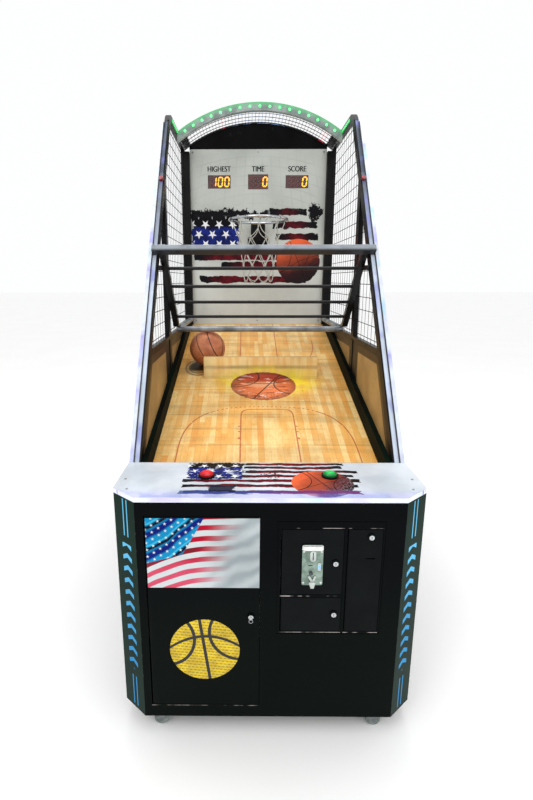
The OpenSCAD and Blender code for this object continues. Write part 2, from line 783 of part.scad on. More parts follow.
module rear_cover() color("#1b1b1d") from_front() difference() {
    union() {
        block([-frame_out + 0.2, rear_y - 12, cab_z0 + 2], [frame_out - 0.2, rear_y, rail_z0 + 5]);
        block([-frame_out + 0.2, post_rear[1] + 0.3, rail_z0 + 1], [frame_out - 0.2, rear_y, rail_z0 + 15]);
        block([-board_hw, board_y + 12.2, board_z[0] + 2], [board_hw, rear_y, board_z[1]]);
    }
    block([-board_hw + 3, board_y + 11, board_z[0] + 5], [board_hw - 3, rear_y - 3, board_z[1] - 3]);
    block([284.5, rear_y - 20, 269.5], [315.5, rear_y + 1, 344.5]);
    // vents behind the electronics
    for (side = [-1, 1], i = [0 : 7])
        block([side * 250 - 70, rear_y - 10, 2150 + i * 22], [side * 250 + 70, rear_y + 1, 2158 + i * 22]);
}

// Mains inlet with a rocker window above it. Its flange is the rearmost face.
module power_inlet() color("#1a1a1a") from_front() difference() {
    union() {
        block([285, rear_y - 34, 270], [315, rear_y + 0.5, 344]);
        translate([300, 0, 307]) along(rear_y, rear_y + proud_rear) rounded_2d(40, 92, 4);
    }
    block([288, rear_y - 22, 276], [312, rear_y + 4, 296]);
    block([291.5, rear_y - 21, 312], [308.5, rear_y + 4, 334]);
}

module power_rocker() color("#b3201f") from_front() translate([0, rear_y - 8, 323]) difference() {
    rod_x(292, 308, 0, 0, 10.4);
    // two finger faces that meet in a shallow V
    rotate([10, 0, 0]) block([291, 5.5, -1], [309, 14, 14]);
    rotate([-24, 0, 0]) block([291, 6.5, -14], [309, 16, 1]);
}

module power_supply() color("#b7babd") from_front()
    block([150, 60, cab_z0 + board_t], [350, 170, cab_z0 + board_t + 50]);

// Main board with its tall parts, on the inside of the rear cover.
module control_board() color("#1f5c36") from_front() {
    block([-150, rear_y - 14, 1500], [150, rear_y - 12, 1700]);
    for (p = [[-110, 1530], [-30, 1640], [70, 1560]])
        translate([p[0], rear_y, p[1]]) block([0, -30, 0], [50, -13.5, 36]);
    for (x = [-140, 140], z = [1510, 1690]) rod_y(x, rear_y - 13, rear_y - 3, z, 4);
}

// ---- casters and feet ----

module caster_plates() color("#b9bcc0") from_front() for (c = CASTERS) difference() {
    block([c[0] - 30, c[1] - 30, cab_z0 - 4], [c[0] + 30, c[1] + 30, cab_z0]);
    rod_z(c[0], c[1], cab_z0 - 5, cab_z0 - 0.2, 5 + run_gap);
}

// A swivel fork. The wheel trails outwards, away from the machine's middle.
module caster_fork(i) {
    c = CASTERS[i];
    top = cab_z0 - 4.5;
    color("#a9adb2") from_front() translate([c[0], c[1], 0]) mirror([c[0] < 0 ? 1 : 0, 0, 0]) {
        rod_z(0, 0, top - 4, top + 4, 5);
        rod_z(0, 0, top - 7, top, 17);
        block([-14, -15, top - 11], [30, 15, top - 6]);
        for (y = [-15, 12]) along(y, y + 3) {
            polygon([[-14, top - 7], [30, top - 7], [28, wheel_z], [12, wheel_z]]);
            translate([trail, wheel_z]) circle(9);
        }
        rod_y(trail, -16, 16, wheel_z, axle_r);
    }
}

module caster_wheel(i) {
    c = CASTERS[i];
    side = c[0] < 0 ? -1 : 1;
    color("#cfd6d3") from_front() translate([c[0] + side * trail, c[1], wheel_z])
        rotate([90, 0, 0]) rotate_extrude() polygon([
            [axle_r + run_gap, -11], [12, -11], [13, -8], [22, -8], [wheel_r - 2, -10],
            [wheel_r, -7], [wheel_r, 7], [wheel_r - 2, 10], [22, 8], [13, 8], [12, 11],
            [axle_r + run_gap, 11]
        ]);
}

module levelling_feet() color("#8f9296") from_front() both_sides() for (p = FEET) {
    rod_z(p[0], p[1], 0, 9, 25);
    rod_z(p[0], p[1], 8, cab_z0 - 0.2, 6);
    translate([p[0], p[1], cab_z0 - 12]) cylinder(r = 11, h = 8, $fn = 6);
}

front_cabinet();
deck();
light_strips();
panel_screws();
button_bezels();
red_button();
green_button();
service_door();
speaker_grille();
speaker();
coin_door();
coin_acceptor();
coin_return_button();
cash_door();
utility_door();
cash_box();
service_lock();
coin_lock();
cash_lock();
utility_lock();
court();
court_skirts();
ball_gate();
gate_rack();
gate_pinion();
gate_motor();
gate_guides();
basketball();
side_panels();
base_frame();
net_frames_front();
net_frames_rear();
side_meshes();
section_knobs();
guard_cage();
guard_lower_pipe();
backboard();
score_displays();
hoop_ring();
hoop_bracket();
hoop_net();
score_sensor();
header_panel();
light_arch();
roof_mesh();
rear_cover();
power_inlet();
power_rocker();
power_supply();
control_board();
caster_plates();
levelling_feet();
caster_fork(0);  // caster_fork_front_left
caster_fork(1);  // caster_fork_front_right
caster_fork(2);  // caster_fork_rear_left
caster_fork(3);  // caster_fork_rear_right
caster_wheel(0);  // caster_wheel_front_left
caster_wheel(1);  // caster_wheel_front_right
caster_wheel(2);  // caster_wheel_rear_left
caster_wheel(3);  // caster_wheel_rear_right
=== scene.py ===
import bpy
import bmesh
from math import asin, cos, hypot, pi, radians, sin, tan
from mathutils import Matrix, Vector


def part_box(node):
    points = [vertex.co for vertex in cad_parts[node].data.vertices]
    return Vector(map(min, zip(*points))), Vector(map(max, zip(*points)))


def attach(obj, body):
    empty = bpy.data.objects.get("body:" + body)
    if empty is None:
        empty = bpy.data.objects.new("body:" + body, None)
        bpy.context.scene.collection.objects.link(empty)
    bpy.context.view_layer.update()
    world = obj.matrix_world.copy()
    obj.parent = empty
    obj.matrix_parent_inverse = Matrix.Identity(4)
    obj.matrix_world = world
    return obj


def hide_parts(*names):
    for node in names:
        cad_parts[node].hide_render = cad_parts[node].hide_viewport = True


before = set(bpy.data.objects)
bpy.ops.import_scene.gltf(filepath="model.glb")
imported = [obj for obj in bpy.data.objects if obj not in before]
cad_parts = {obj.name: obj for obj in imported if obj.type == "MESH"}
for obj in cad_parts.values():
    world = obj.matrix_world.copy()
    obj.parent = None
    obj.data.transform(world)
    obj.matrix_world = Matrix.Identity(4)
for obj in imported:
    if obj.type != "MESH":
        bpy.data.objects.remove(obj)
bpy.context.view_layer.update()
scene = bpy.context.scene
MM = 0.001
# Every measure below is in millimetres unless it says metres.
FRONT = -1001.0  # from the middle of the machine to the cabinet's front face
SLANT = radians(56.6)  # the slanted posts, from level
FOOT_Y, FOOT_Z = 324, 930  # where the middle of a slanted post meets the deck
JOINT_Y = 1089  # where the front and rear side sections meet
MESH_FOOT_Z = 1320
DOOR_X, DOOR_Z = -221, 729.5  # middle of the service door's picture
ARCH_Z = 1790  # centre of the arch's and the roof's curve
ROOF_RADIUS = 808
HOOP_Y = 1669
BOARD_Y = 1920
WINDOWS, WINDOW_Z = (-258, 0, 258), 2244  # middles of the three displays


def at(x, y, z):
    """A point in metres from millimetres, with y counted from the cabinet's front face."""
    return Vector((x * MM, (FRONT + y) * MM, z * MM))


def slant_y(z):
    return FOOT_Y + (z - FOOT_Z) / tan(SLANT)


def slant_z(y):
    return (y - FOOT_Y) * tan(SLANT) + FOOT_Z


def round_turn(count):
    """Angles that divide a full turn."""
    return [2 * pi * k / count for k in range(count)]


# ---- camera ----
yaw, pitch, roll = -0.008, 0.218, -0.001  # radians
forward = Vector((sin(yaw) * cos(pitch), cos(yaw) * cos(pitch), -sin(pitch)))
level = Vector((cos(yaw), -sin(yaw), 0))
upward = level.cross(forward)
side = level * cos(roll) + upward * sin(roll)
top = upward * cos(roll) - level * sin(roll)
lens = bpy.data.cameras.new("view")
lens.sensor_width, lens.lens = 36, 20.7504
lens.shift_x, lens.shift_y = 0.03013, -0.02263
lens.clip_start, lens.clip_end = 0.05, 60
camera = bpy.data.objects.new("view", lens)
camera.matrix_world = Matrix((side, top, -forward)).transposed().to_4x4()
camera.location = at(-79.029, -1358.244, 1609.647)
scene.collection.objects.link(camera)
scene.camera = camera


# ---- shading helpers ----
def rgb(text):
    """Linear colour with alpha from a hex colour."""
    parts = [int(text[i:i + 2], 16) / 255 for i in (1, 3, 5)]
    return tuple(c / 12.92 if c < 0.04045 else ((c + 0.055) / 1.055) ** 2.4 for c in parts) + (1,)


class V:
    """A number in a shader that varies over the surface, with arithmetic. a | b is the higher."""

    def __init__(self, paint, socket):
        self.paint, self.socket = paint, socket

    def math(self, operation, *others):
        node = self.paint.new("ShaderNodeMath", operation=operation)
        for socket, value in zip(node.inputs, (self,) + others):
            self.paint.plug(socket, value)
        return V(self.paint, node.outputs[0])

    def __add__(self, other): return self.math("ADD", other)
    def __sub__(self, other): return self.math("SUBTRACT", other)
    def __rsub__(self, other): return self.math("MULTIPLY_ADD", -1.0, other)
    def __mul__(self, other): return self.math("MULTIPLY", other)
    def __truediv__(self, other): return self.math("DIVIDE", other)
    def __pow__(self, other): return self.math("POWER", other)
    def __abs__(self): return self.math("ABSOLUTE")
    def __or__(self, other): return self.math("MAXIMUM", other)

    def low(self, other): return self.math("MINIMUM", other)
    def fold(self, size): return self.math("PINGPONG", size)
    def wrap(self, a, b): return self.math("WRAP", b, a)
    def cell(self): return self.math("FLOOR")

    def ramp(self, a, b, to_a=0.0, to_b=1.0):
        """to_a before a, to_b after b, and smooth between them."""
        node = self.paint.new("ShaderNodeMapRange", interpolation_type="SMOOTHSTEP")
        sockets = ("Value", "From Min", "From Max", "To Min", "To Max")
        for key, value in zip(sockets, (self, a, b, to_a, to_b)):
            self.paint.plug(node.inputs[key], value)
        return V(self.paint, node.outputs[0])

    def band(self, a, b, soft=0.6):
        """1 between a and b."""
        return self.ramp(a - soft, a + soft) * self.ramp(b + soft, b - soft)

    def line(self, centre, width, soft=0.5):
        """1 on a line of that width."""
        return abs(self - centre).ramp(width / 2 + soft, width / 2 - soft)


class Tone:
    """A colour in a shader that varies over the surface. tone |= other, amount lays another on it."""

    def __init__(self, paint, socket):
        self.paint, self.socket = paint, socket

    def __or__(self, layer):
        return self.paint.mix(self, *layer)


def length(a, b):
    return (a * a + b * b) ** 0.5


class Paint:
    """A material in the making. x, y and z are millimetres, y from the cabinet's front face."""

    def __init__(self, name, metal=0.0, gloss=0.5, **fixed):
        self.mat = bpy.data.materials.new(name)
        self.mat.use_nodes = True
        self.tree = self.mat.node_tree
        self.bsdf = self.tree.nodes["Principled BSDF"]
        self.normal = None
        self.set(Metallic=metal, Specular_IOR_Level=gloss, **fixed)
        place = self.new("ShaderNodeTexCoord").outputs["Object"]
        self.mm = self.spread(place, (1000, 1000, 1000), (0, -FRONT, 0))
        self.xyz = self.x, self.y, self.z = self.split(self.mm)

    def new(self, kind, **settings):
        node = self.tree.nodes.new(kind)
        for key, value in settings.items():
            setattr(node, key, value)
        return node

    def plug(self, socket, value):
        if isinstance(value, (V, Tone)):
            self.tree.links.new(value.socket, socket)
        elif isinstance(value, bpy.types.NodeSocket):
            self.tree.links.new(value, socket)
        else:
            socket.default_value = rgb(value) if isinstance(value, str) else value

    def spread(self, vector, scale, shift=(0, 0, 0)):
        """vector times scale plus shift."""
        node = self.new("ShaderNodeVectorMath", operation="MULTIPLY_ADD")
        self.plug(node.inputs[0], vector)
        node.inputs[1].default_value, node.inputs[2].default_value = scale, shift
        return node.outputs[0]

    def split(self, vector):
        node = self.new("ShaderNodeSeparateXYZ")
        self.plug(node.inputs[0], vector)
        return [V(self, socket) for socket in node.outputs]

    def noise(self, size, detail=2.0, stretch=(1, 1, 1), seed=0.0, rough=0.5):
        node = self.new("ShaderNodeTexNoise")
        place = self.spread(self.mm, [1 / (size * s) for s in stretch],
                            (seed * 7.31, seed * 3.17, seed * 5.73))
        for key, value in zip(("Vector", "Scale", "Detail", "Roughness"), (place, 1, detail, rough)):
            self.plug(node.inputs[key], value)
        return V(self, node.outputs[0])

    def cells(self, size):
        """The distance to the middle of the nearest of many scattered cells."""
        node = self.new("ShaderNodeTexVoronoi")
        self.plug(node.inputs["Vector"], self.spread(self.mm, [1 / size] * 3))
        node.inputs["Scale"].default_value = 1
        return V(self, node.outputs["Distance"])

    def chance(self, a, b=0.0, seed=0.0):
        """A random number from 0 to 1 for each pair of cell numbers."""
        join = self.new("ShaderNodeCombineXYZ")
        for i, value in enumerate((a, b, seed)):
            self.plug(join.inputs[i], value)
        node = self.new("ShaderNodeTexWhiteNoise")
        self.plug(node.inputs["Vector"], join.outputs[0])
        return V(self, node.outputs["Value"])

    def mix(self, a, b, amount):
        node = self.new("ShaderNodeMix", data_type="RGBA")
        for i, value in ((0, amount), (6, a), (7, b)):
            self.plug(node.inputs[i], value)
        return Tone(self, node.outputs[2])

    def clouds(self, light, dark, *size, **noise):
        """Two tones that drift into each other."""
        return self.mix(light, dark, self.noise(*size, **noise).ramp(0.35, 0.65))

    def set(self, **inputs):
        for key, value in inputs.items():
            self.plug(self.bsdf.inputs[key.replace("_", " ")], value)
        return self

    def glow(self, tone, strength):
        return self.set(Emission_Color=tone, Emission_Strength=strength)

    def bump(self, height, depth):
        """Raises the surface by height times depth millimetres."""
        node = self.new("ShaderNodeBump")
        node.inputs["Distance"].default_value = depth * MM
        self.plug(node.inputs["Height"], height)
        if self.normal:
            self.tree.links.new(self.normal, node.inputs["Normal"])
        self.normal = node.outputs[0]
        self.tree.links.new(self.normal, self.bsdf.inputs["Normal"])
        return self

    def skin(self, colour, rough, size, grain=1.2, depth=0.03, scuff=0.25, worn="#8a8a88"):
        """Fine grain, cloudy gloss, faint scuffs and dust over a colour."""
        cloud = self.noise(size, 4, seed=1.7)
        marks = self.noise(size * 0.35, 6, stretch=(1, 0.2, 1), seed=4.1, rough=0.7)
        specks = self.noise(2.4, 3, seed=9.2, rough=0.8).ramp(0.72, 0.8)
        wear = (marks.ramp(0.64, 0.8) * 0.4 + specks * 0.5) * scuff
        shade = self.mix(colour, "#000000", cloud.ramp(0.3, 0.75, 0.0, 0.22))
        self.set(Base_Color=self.mix(shade, worn, wear))
        self.set(Roughness=(cloud - 0.5) * 0.14 + wear * 0.4 + rough)
        return self.bump(self.noise(grain, 2, seed=2.3), depth)


def plain(name, light, dark, rough, size, metal=0.0, grain=1.2, depth=0.03, gloss=0.5, **fixed):
    """Paint or plastic in two close tones."""
    paint = Paint(name, metal, gloss, **fixed)
    return paint.skin(paint.clouds(light, dark, size, 3, seed=6.6), rough, size, grain, depth)


def star(u, v, size):
    """1 inside a five-pointed star of that radius round (0, 0), turned a little."""
    sector = pi / 5
    angle = (v.math("ARCTAN2", u) + (0.3 + 10 * sector)).fold(sector)
    reach = length(u, v)
    a, b = reach * angle.math("COSINE"), reach * angle.math("SINE")
    # the edge from a tip to the next notch
    nx, ny = 0.382 * sin(sector), 1 - 0.382 * cos(sector)
    scale = hypot(nx, ny)
    edge = size * nx / scale
    return (a * (nx / scale) + b * (ny / scale)).ramp(edge + 0.9, edge - 0.9)


def star_field(u, v, pitch_u, pitch_v, size):
    """Rows of stars, each row shifted by half a pitch."""
    row = (v / pitch_v).cell()
    shifted = u + row.fold(1.0) * (pitch_u / 2)
    return star(shifted.wrap(-pitch_u / 2, pitch_u / 2), v.wrap(0.0, pitch_v) - pitch_v / 2, size)


def ragged(paint, u, v, box, reach, size, seed, stretch=(1, 1, 1)):
    """A rectangle whose edges are torn by up to reach millimetres."""
    x0, x1, y0, y1 = box
    inside = (u - x0).low(x1 - u).low((v - y0).low(y1 - v))
    tear = paint.noise(size, 6, seed=seed, stretch=stretch, rough=0.72) - 0.5
    return (inside + tear * (reach * 4.2)).ramp(-0.8, 0.8)


def print_flag(paint, u, v, ground, canton, star_pitch, star_size, stripes, thick, wave, ball,
               tear, stretch, lean, halftone):
    """Torn flag-like brush strokes with a ball, printed on a ground colour.

    canton is its left, right and lower edges, the top of its blue and the top of its black.
    Each stripe is its left and right ends and its middle. lean says how fast the ball darkens
    along u and against v, and how dark its last coat is."""
    drift = (paint.noise(wave * 7, 3, seed=3.3) - 0.5) * wave * 2.4
    blotch = paint.noise(tear * 3, 5, seed=5.5, rough=0.7)
    tone = ground
    for i, (u0, u1, centre) in enumerate(stripes):
        box = (u0, u1, centre - thick / 2, centre + thick / 2)
        shape = ragged(paint, u, v + drift, box, tear * 0.55, tear * 1.6, 11.0 + i, stretch)
        ends = (u - u0).low(u1 - u).ramp(tear * 2, tear * 10)
        ink = paint.mix("#131116", "#6b1420", ends * blotch.ramp(0.38, 0.6, 0.25, 1.0))
        tone |= ink, shape
    x0, x1, y0, y1, black_top = canton
    cloth = ragged(paint, u, v, (x0, x1, y0, black_top), tear * 1.4, tear * 2.6, 21.0)
    depth = (v + (blotch - 0.5) * tear * 5).ramp(y1 - tear, y1 + tear)
    navy = paint.mix("#1c2c86", "#141c54", blotch.ramp(0.4, 0.6))
    tone |= paint.mix(navy, "#0c0c10", depth), cloth
    white = star_field(u - x0, v - y0, *star_pitch, star_size) * cloth
    white *= v.ramp(y1 + tear * 5, y1 + tear * 3)
    tone |= "#f1f2f4", white * blotch.ramp(0.36, 0.42)
    bu, bv, radius = ball
    du, dv = u - bu, v - bv
    reach = length(du, dv)
    dots = paint.cells(radius * 0.05)
    shade = (du * lean[0] - dv * lean[1]) / radius + (blotch - 0.5) * 0.7
    skin = paint.mix("#f06a3e", "#a8492f", shade.ramp(-0.95, -0.15))
    skin |= "#5c2326", shade.ramp(-0.05, 0.45)
    skin |= "#211519", shade.ramp(0.45, 0.85)
    skin |= ground, shade.ramp(0.1, 1.1) * dots.ramp(0.42, 0.33) * halftone
    skin |= "#251a1d", shade.ramp(-0.7, 0.75) * lean[2]
    seams = abs(du * 0.8 + dv * 0.35).ramp(2.2, 0.8)
    seams |= abs(dv - du * 0.45 + reach * 0.12).ramp(2.2, 0.8)
    for sign in (-1, 1):
        bow = length(du - sign * radius * 1.15, dv + sign * radius * 0.25) - radius * 0.82
        seams |= abs(bow).ramp(2.4, 0.9)
    skin |= "#190f12", seams * 0.9
    fray = (paint.noise(tear * 1.2, 4, seed=31.0) - 0.5) * tear * 0.9
    edge = reach + fray * (du / radius).ramp(-0.2, 0.9)
    return paint.mix(tone, skin, edge.ramp(radius + 0.8, radius - 0.8))


# ---- materials of the cabinet ----
def cabinet_black(paint):
    return paint.mix("#06080b", "#060d0a", paint.z.ramp(700, 400))


def add_glints(paint, tone):
    """Adds light caught along the level edges of the door openings."""
    mask = None
    for name in ("service_door", "coin_door", "cash_door", "utility_door"):
        low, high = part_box(name)
        across = paint.x.band(low.x / MM - 2, high.x / MM + 2, 0.5)
        edges = paint.z.line(low.z / MM - 0.5, 1.8, 0.7)
        if name != "service_door":
            edges |= paint.z.line(high.z / MM + 0.5, 1.8, 0.7)
        mask = edges * across if mask is None else mask | edges * across
    dashes = paint.noise(58, 3, stretch=(1, 1.6, 1.6), seed=12).ramp(0.46, 0.62)
    return paint.mix(tone, "#c9bfbd", mask * dashes * 0.75)


def cabinet_paint():
    paint = Paint("laminate_black", gloss=0.035)
    x, y, z = abs(paint.x), paint.y, paint.z
    face = x.ramp(440.2, 441) * y.ramp(73.5, 72.6)
    tone = paint.mix(cabinet_black(paint), "#05241a", face)
    lines = x.line(472, 4.2) | x.line(487, 4.2)
    ends = z.band(772, 906) | z.band(92, 218)
    # chevrons along the middle of the strip
    aside = abs(x - 479.5)
    arrows = (z + aside * 0.75).wrap(0.0, 46.0).band(2, 19) * aside.ramp(18.5, 17.8) * z.band(246, 744)
    tint = paint.mix("#2b93d2", "#68c3ee", z.ramp(200, 850))
    tone |= tint, (lines * ends | arrows) * face * 0.92
    near_edge = length(x - 440, y - 1).ramp(2.5, 0.6)
    chips = near_edge * paint.noise(18, 5, seed=8).ramp(0.56, 0.66)
    tone = add_glints(paint, paint.mix(tone, "#4a463e", chips * 0.5))
    return paint.skin(tone, 0.3, 220, 1.6, 0.02, scuff=0.1)


def deck_paint():
    paint = Paint("deck_print", gloss=0.12)
    x, y, z = paint.xyz
    ground = paint.clouds("#c3cad2", "#ced4da", 120, 3)
    stripes = [(-95, 285, 272), (-85, 275, 240), (-100, 322, 204), (-130, 300, 166),
               (-300, 315, 128), (-296, 300, 88), (-285, 292, 40)]
    art = print_flag(
        paint, x, y, ground, canton=(-292, -92, 142, 236, 284), star_pitch=(58, 46), star_size=17,
        stripes=stripes, thick=22, wave=11, ball=(183, 108, 106), tear=8, stretch=(4, 1, 1),
        lean=(0.75, 0.45, 0.0), halftone=0.55)
    heart = ragged(paint, x, y, (-30, 40, 152, 196), 9, 18, 57.0)
    art |= "#5f1626", heart * paint.cells(9).ramp(0.5, 0.35)
    gaps = paint.noise(30, 5, stretch=(1.4, 1, 1), seed=61, rough=0.7).ramp(0.585, 0.6)
    gaps *= ragged(paint, x, y, (-330, -80, 140, 300), 6, 20, 63.0)
    art |= ground, gaps * 0.95
    # painted glow: a lavender tint over the deck's front, standing for the light of the strip along its
    # edge
    tint = paint.mix("#6a74d8", "#b9b2f2", paint.noise(60, 2, seed=2).ramp(0.4, 0.6))
    art |= tint, y.ramp(70, 4) * 0.45
    streak = ragged(paint, x, y, (-300, 300, 28, 50), 12, 24, 51.0, (4, 1, 1))
    art |= paint.mix("#2a4488", "#6d2f6c", x.ramp(-120, 120)), streak * 0.85
    blot = ragged(paint, x, y, (-200, -120, 42, 84), 17, 26, 53.0, (1.6, 1, 1))
    art |= "#0f1a34", blot * 0.96
    tone = paint.mix("#e6e8ea", art, z.ramp(FOOT_Z - 0.8, FOOT_Z - 0.4))
    return paint.skin(tone, 0.22, 180, 2.0, 0.012, scuff=0.18, worn="#9a9790")


def diffuser_paint():
    paint = Paint("diffuser_light", Subsurface_Weight=0.2, Subsurface_Radius=(0.004, 0.004, 0.005))
    x, y, z = abs(paint.x), paint.y, paint.z
    drift = paint.noise(150, 3, seed=5)
    tone = paint.mix("#ccd3e0", "#9a98dc", drift.ramp(0.48, 0.66) * 0.85)
    tone |= "#9fd3dd", paint.noise(150, 2, seed=12).ramp(0.54, 0.68) * 0.8
    tone |= "#15161a", x.ramp(511, 509) * x.ramp(505, 506)
    green = z.ramp(2435, 2441) * x.ramp(483, 482.4)
    tone |= "#52e07a", green
    band = z.band(913.5, 928.5) * y.ramp(76, 72)
    tone |= "#c3bdf8", band * drift.ramp(0.35, 0.6) * 0.7
    glow = z.wrap(0.0, 25.0).fold(12.5).ramp(0, 12.5, 0.85, 1.0)
    paint.skin(tone, 0.38, 70, 0.8, 0.02, scuff=0.12, worn="#c9c9d4")
    return paint.glow(tone, glow * (band * 0.42 + green * 0.4 + 0.08))


def service_paint():
    paint = Paint("door_board", gloss=0.04)
    u, v = paint.x - DOOR_X, paint.z - DOOR_Z
    sway = paint.noise(130, 2, seed=7) - 0.5
    folds = (v - u * 0.55 + sway * 90).wrap(0.0, 64.0).fold(32.0).ramp(4, 30)
    ground = paint.mix("#b9c1c4", "#9ea8ac", folds * u.ramp(-60, 60))
    # stripes lie level at the right and sink to the lower left
    sunk = (u - 12).low(0.0)
    level_v = v + sunk * sunk * 0.00135 + (u - 12) * -0.05 + sway * 10
    stripe = (level_v - 83).wrap(0.0, 38.0).band(1, 19, 1.2)
    fade = (u + (level_v - 30) * -0.3).ramp(128, -12)
    faded = (level_v * -1 + sunk * -0.4 + paint.noise(50, 3, seed=3) * 40).ramp(10, 120)
    red = paint.mix("#b3122f", "#d0506a", faded)
    art = paint.mix(ground, "#d5dbdd", (1 - stripe) * fade * 0.7)
    red |= "#6d1c26", level_v.band(5, 28, 4) * u.ramp(30, -40) * 0.8
    art |= red, stripe * fade
    # canton with a slanting right edge and a sagging lower edge
    right = u + 67 - (v + 2.5) * 0.55 + sway * 8
    lower = v + 36 - (u + 187) * 0.28 + sway * 10
    canton = right.ramp(1, -1) * lower.ramp(-1, 1)
    pleat = (v - u * 0.72 + sway * 60).wrap(0.0, 86.0)
    blue = paint.mix("#1590c4", "#0f2178", pleat.band(18, 46, 7))
    blue |= "#0e1026", pleat.band(52, 66, 5)
    blue |= "#4cc6e6", pleat.band(70, 76, 3) * 0.8
    art |= blue, canton
    white = star_field(u * 0.82 + v * 0.57, v * 0.82 - u * 0.57, 26, 21, 5.6) * canton
    art |= "#e9eef2", white
    inside = abs(u).ramp(187.6, 186.8) * abs(v).ramp(127.8, 127) * paint.y.ramp(1.0, 0.4)
    tone = add_glints(paint, paint.mix(cabinet_black(paint), art, inside))
    paint.skin(tone, 0.3, 200, 1.6, 0.02, scuff=0.1)
    return paint.bump(inside, 0.15)


def disc_paint():
    paint = Paint("speaker_disc")
    u, v = paint.x - DOOR_X, paint.z - 358
    seam = (u + v * 0.138).line(0, 11)
    for other in (v - 54 + (u - 5) * (u - 5) * 0.0029, length(u + 125, (v - 40) * 0.9) - 90,
                  length(u - 125, v - 70) - 108):
        seam |= other.line(0, 11)
    rows = v + u * 0.1
    row = (rows / 11.5).cell()
    hole = (u + row.fold(1.0) * 7).wrap(0.0, 14.0).band(1.6, 12, 0.8)
    hole = rows.wrap(0.0, 11.5).band(3.4, 8.0, 1.0) * hole
    ink = paint.clouds("#e6c60c", "#c9a80a", 40, 3)
    tone = paint.mix(ink, "#6b5a08", hole * 0.62)
    tone |= "#0b0b0a", seam
    paint.skin(tone, 0.42, 60, 0.8, 0.02, scuff=0.1)
    return paint.bump(1 - (hole | seam * 0.4), 0.5)


# ---- materials of the court ----
def planks(paint, width, run, light, mid, deep):
    """Long boards along y with staggered ends, each with its own tone and grain."""
    x, y = paint.x, paint.y
    lane = (x / width).cell()
    offset = paint.chance(lane, 3.0) * run
    piece = ((y + offset) / run).cell()
    figure = paint.noise(width * 1.3, 2, stretch=(1, 16, 1), seed=14)
    shade = paint.chance(lane, piece, 1.0) * 0.45 + figure * 0.7 - 0.08
    grain = paint.noise(7, 5, stretch=(1, 22, 1), seed=2, rough=0.65)
    rings = paint.noise(30, 3, stretch=(1, 14, 1), seed=5) * 60 + x * 0.25
    rings = rings.wrap(0.0, 5.0).fold(2.5).ramp(0.3, 1.6)
    colour = paint.mix(light, mid, shade.ramp(0.25, 0.6))
    colour |= deep, shade.ramp(0.55, 0.85) * 0.6
    colour |= deep, grain.ramp(0.5, 0.72) * 0.45
    colour |= deep, rings * 0.12
    across = x.wrap(0.0, width)
    joint = across.line(0, 0.7) | across.line(width, 0.7) | (y + offset).wrap(0.0, run).line(0, 0.8)
    return paint.mix(colour, "#7a4c1e", joint * 0.5), grain, joint


def printed_ball(paint, tone, u, v):
    """A ball with a yellow glow, printed across the court and up the gate."""
    reach = length(u, v)
    glow = length((u - 30) * 0.72, v - 70).ramp(250, 120)
    glow *= paint.noise(50, 4, seed=7).ramp(0.35, 0.6, 0.45, 1.0)
    tone |= "#f6e11c", glow * 0.85
    shade = v / 160 + (paint.noise(60, 3, seed=4) - 0.5)
    skin = paint.mix("#f58650", "#c04622", shade.ramp(-0.9, 0.7))
    skin |= "#8c2c1a", paint.noise(34, 3, stretch=(3, 1, 1), seed=16).ramp(0.54, 0.64) * 0.8
    skin |= "#ffe9da", paint.noise(26, 4, stretch=(3, 1, 1), seed=19).ramp(0.6, 0.68) * 0.7
    skin |= "#ffc9a0", length((u + 10) * 0.5, v - 10).ramp(60, 10) * 0.55
    skin |= "#5a1e14", reach.ramp(120, 176) * 0.6
    skin |= "#3a1410", paint.cells(11).ramp(0.45, 0.3) * v.ramp(-50, -140) * 0.7
    seam = (v - 20 - u * u * 0.0022).line(0, 8)
    for other in (u * 0.9 - v * 0.45 - 22, length(u + 150, v - 110) - 128,
                  length(u - 175, v - 10) - 118):
        seam |= other.line(0, 8)
    skin |= "#2a1210", seam * 0.85
    return paint.mix(tone, skin, (reach + (paint.noise(16, 4, seed=9) - 0.5) * 14).ramp(176, 172))


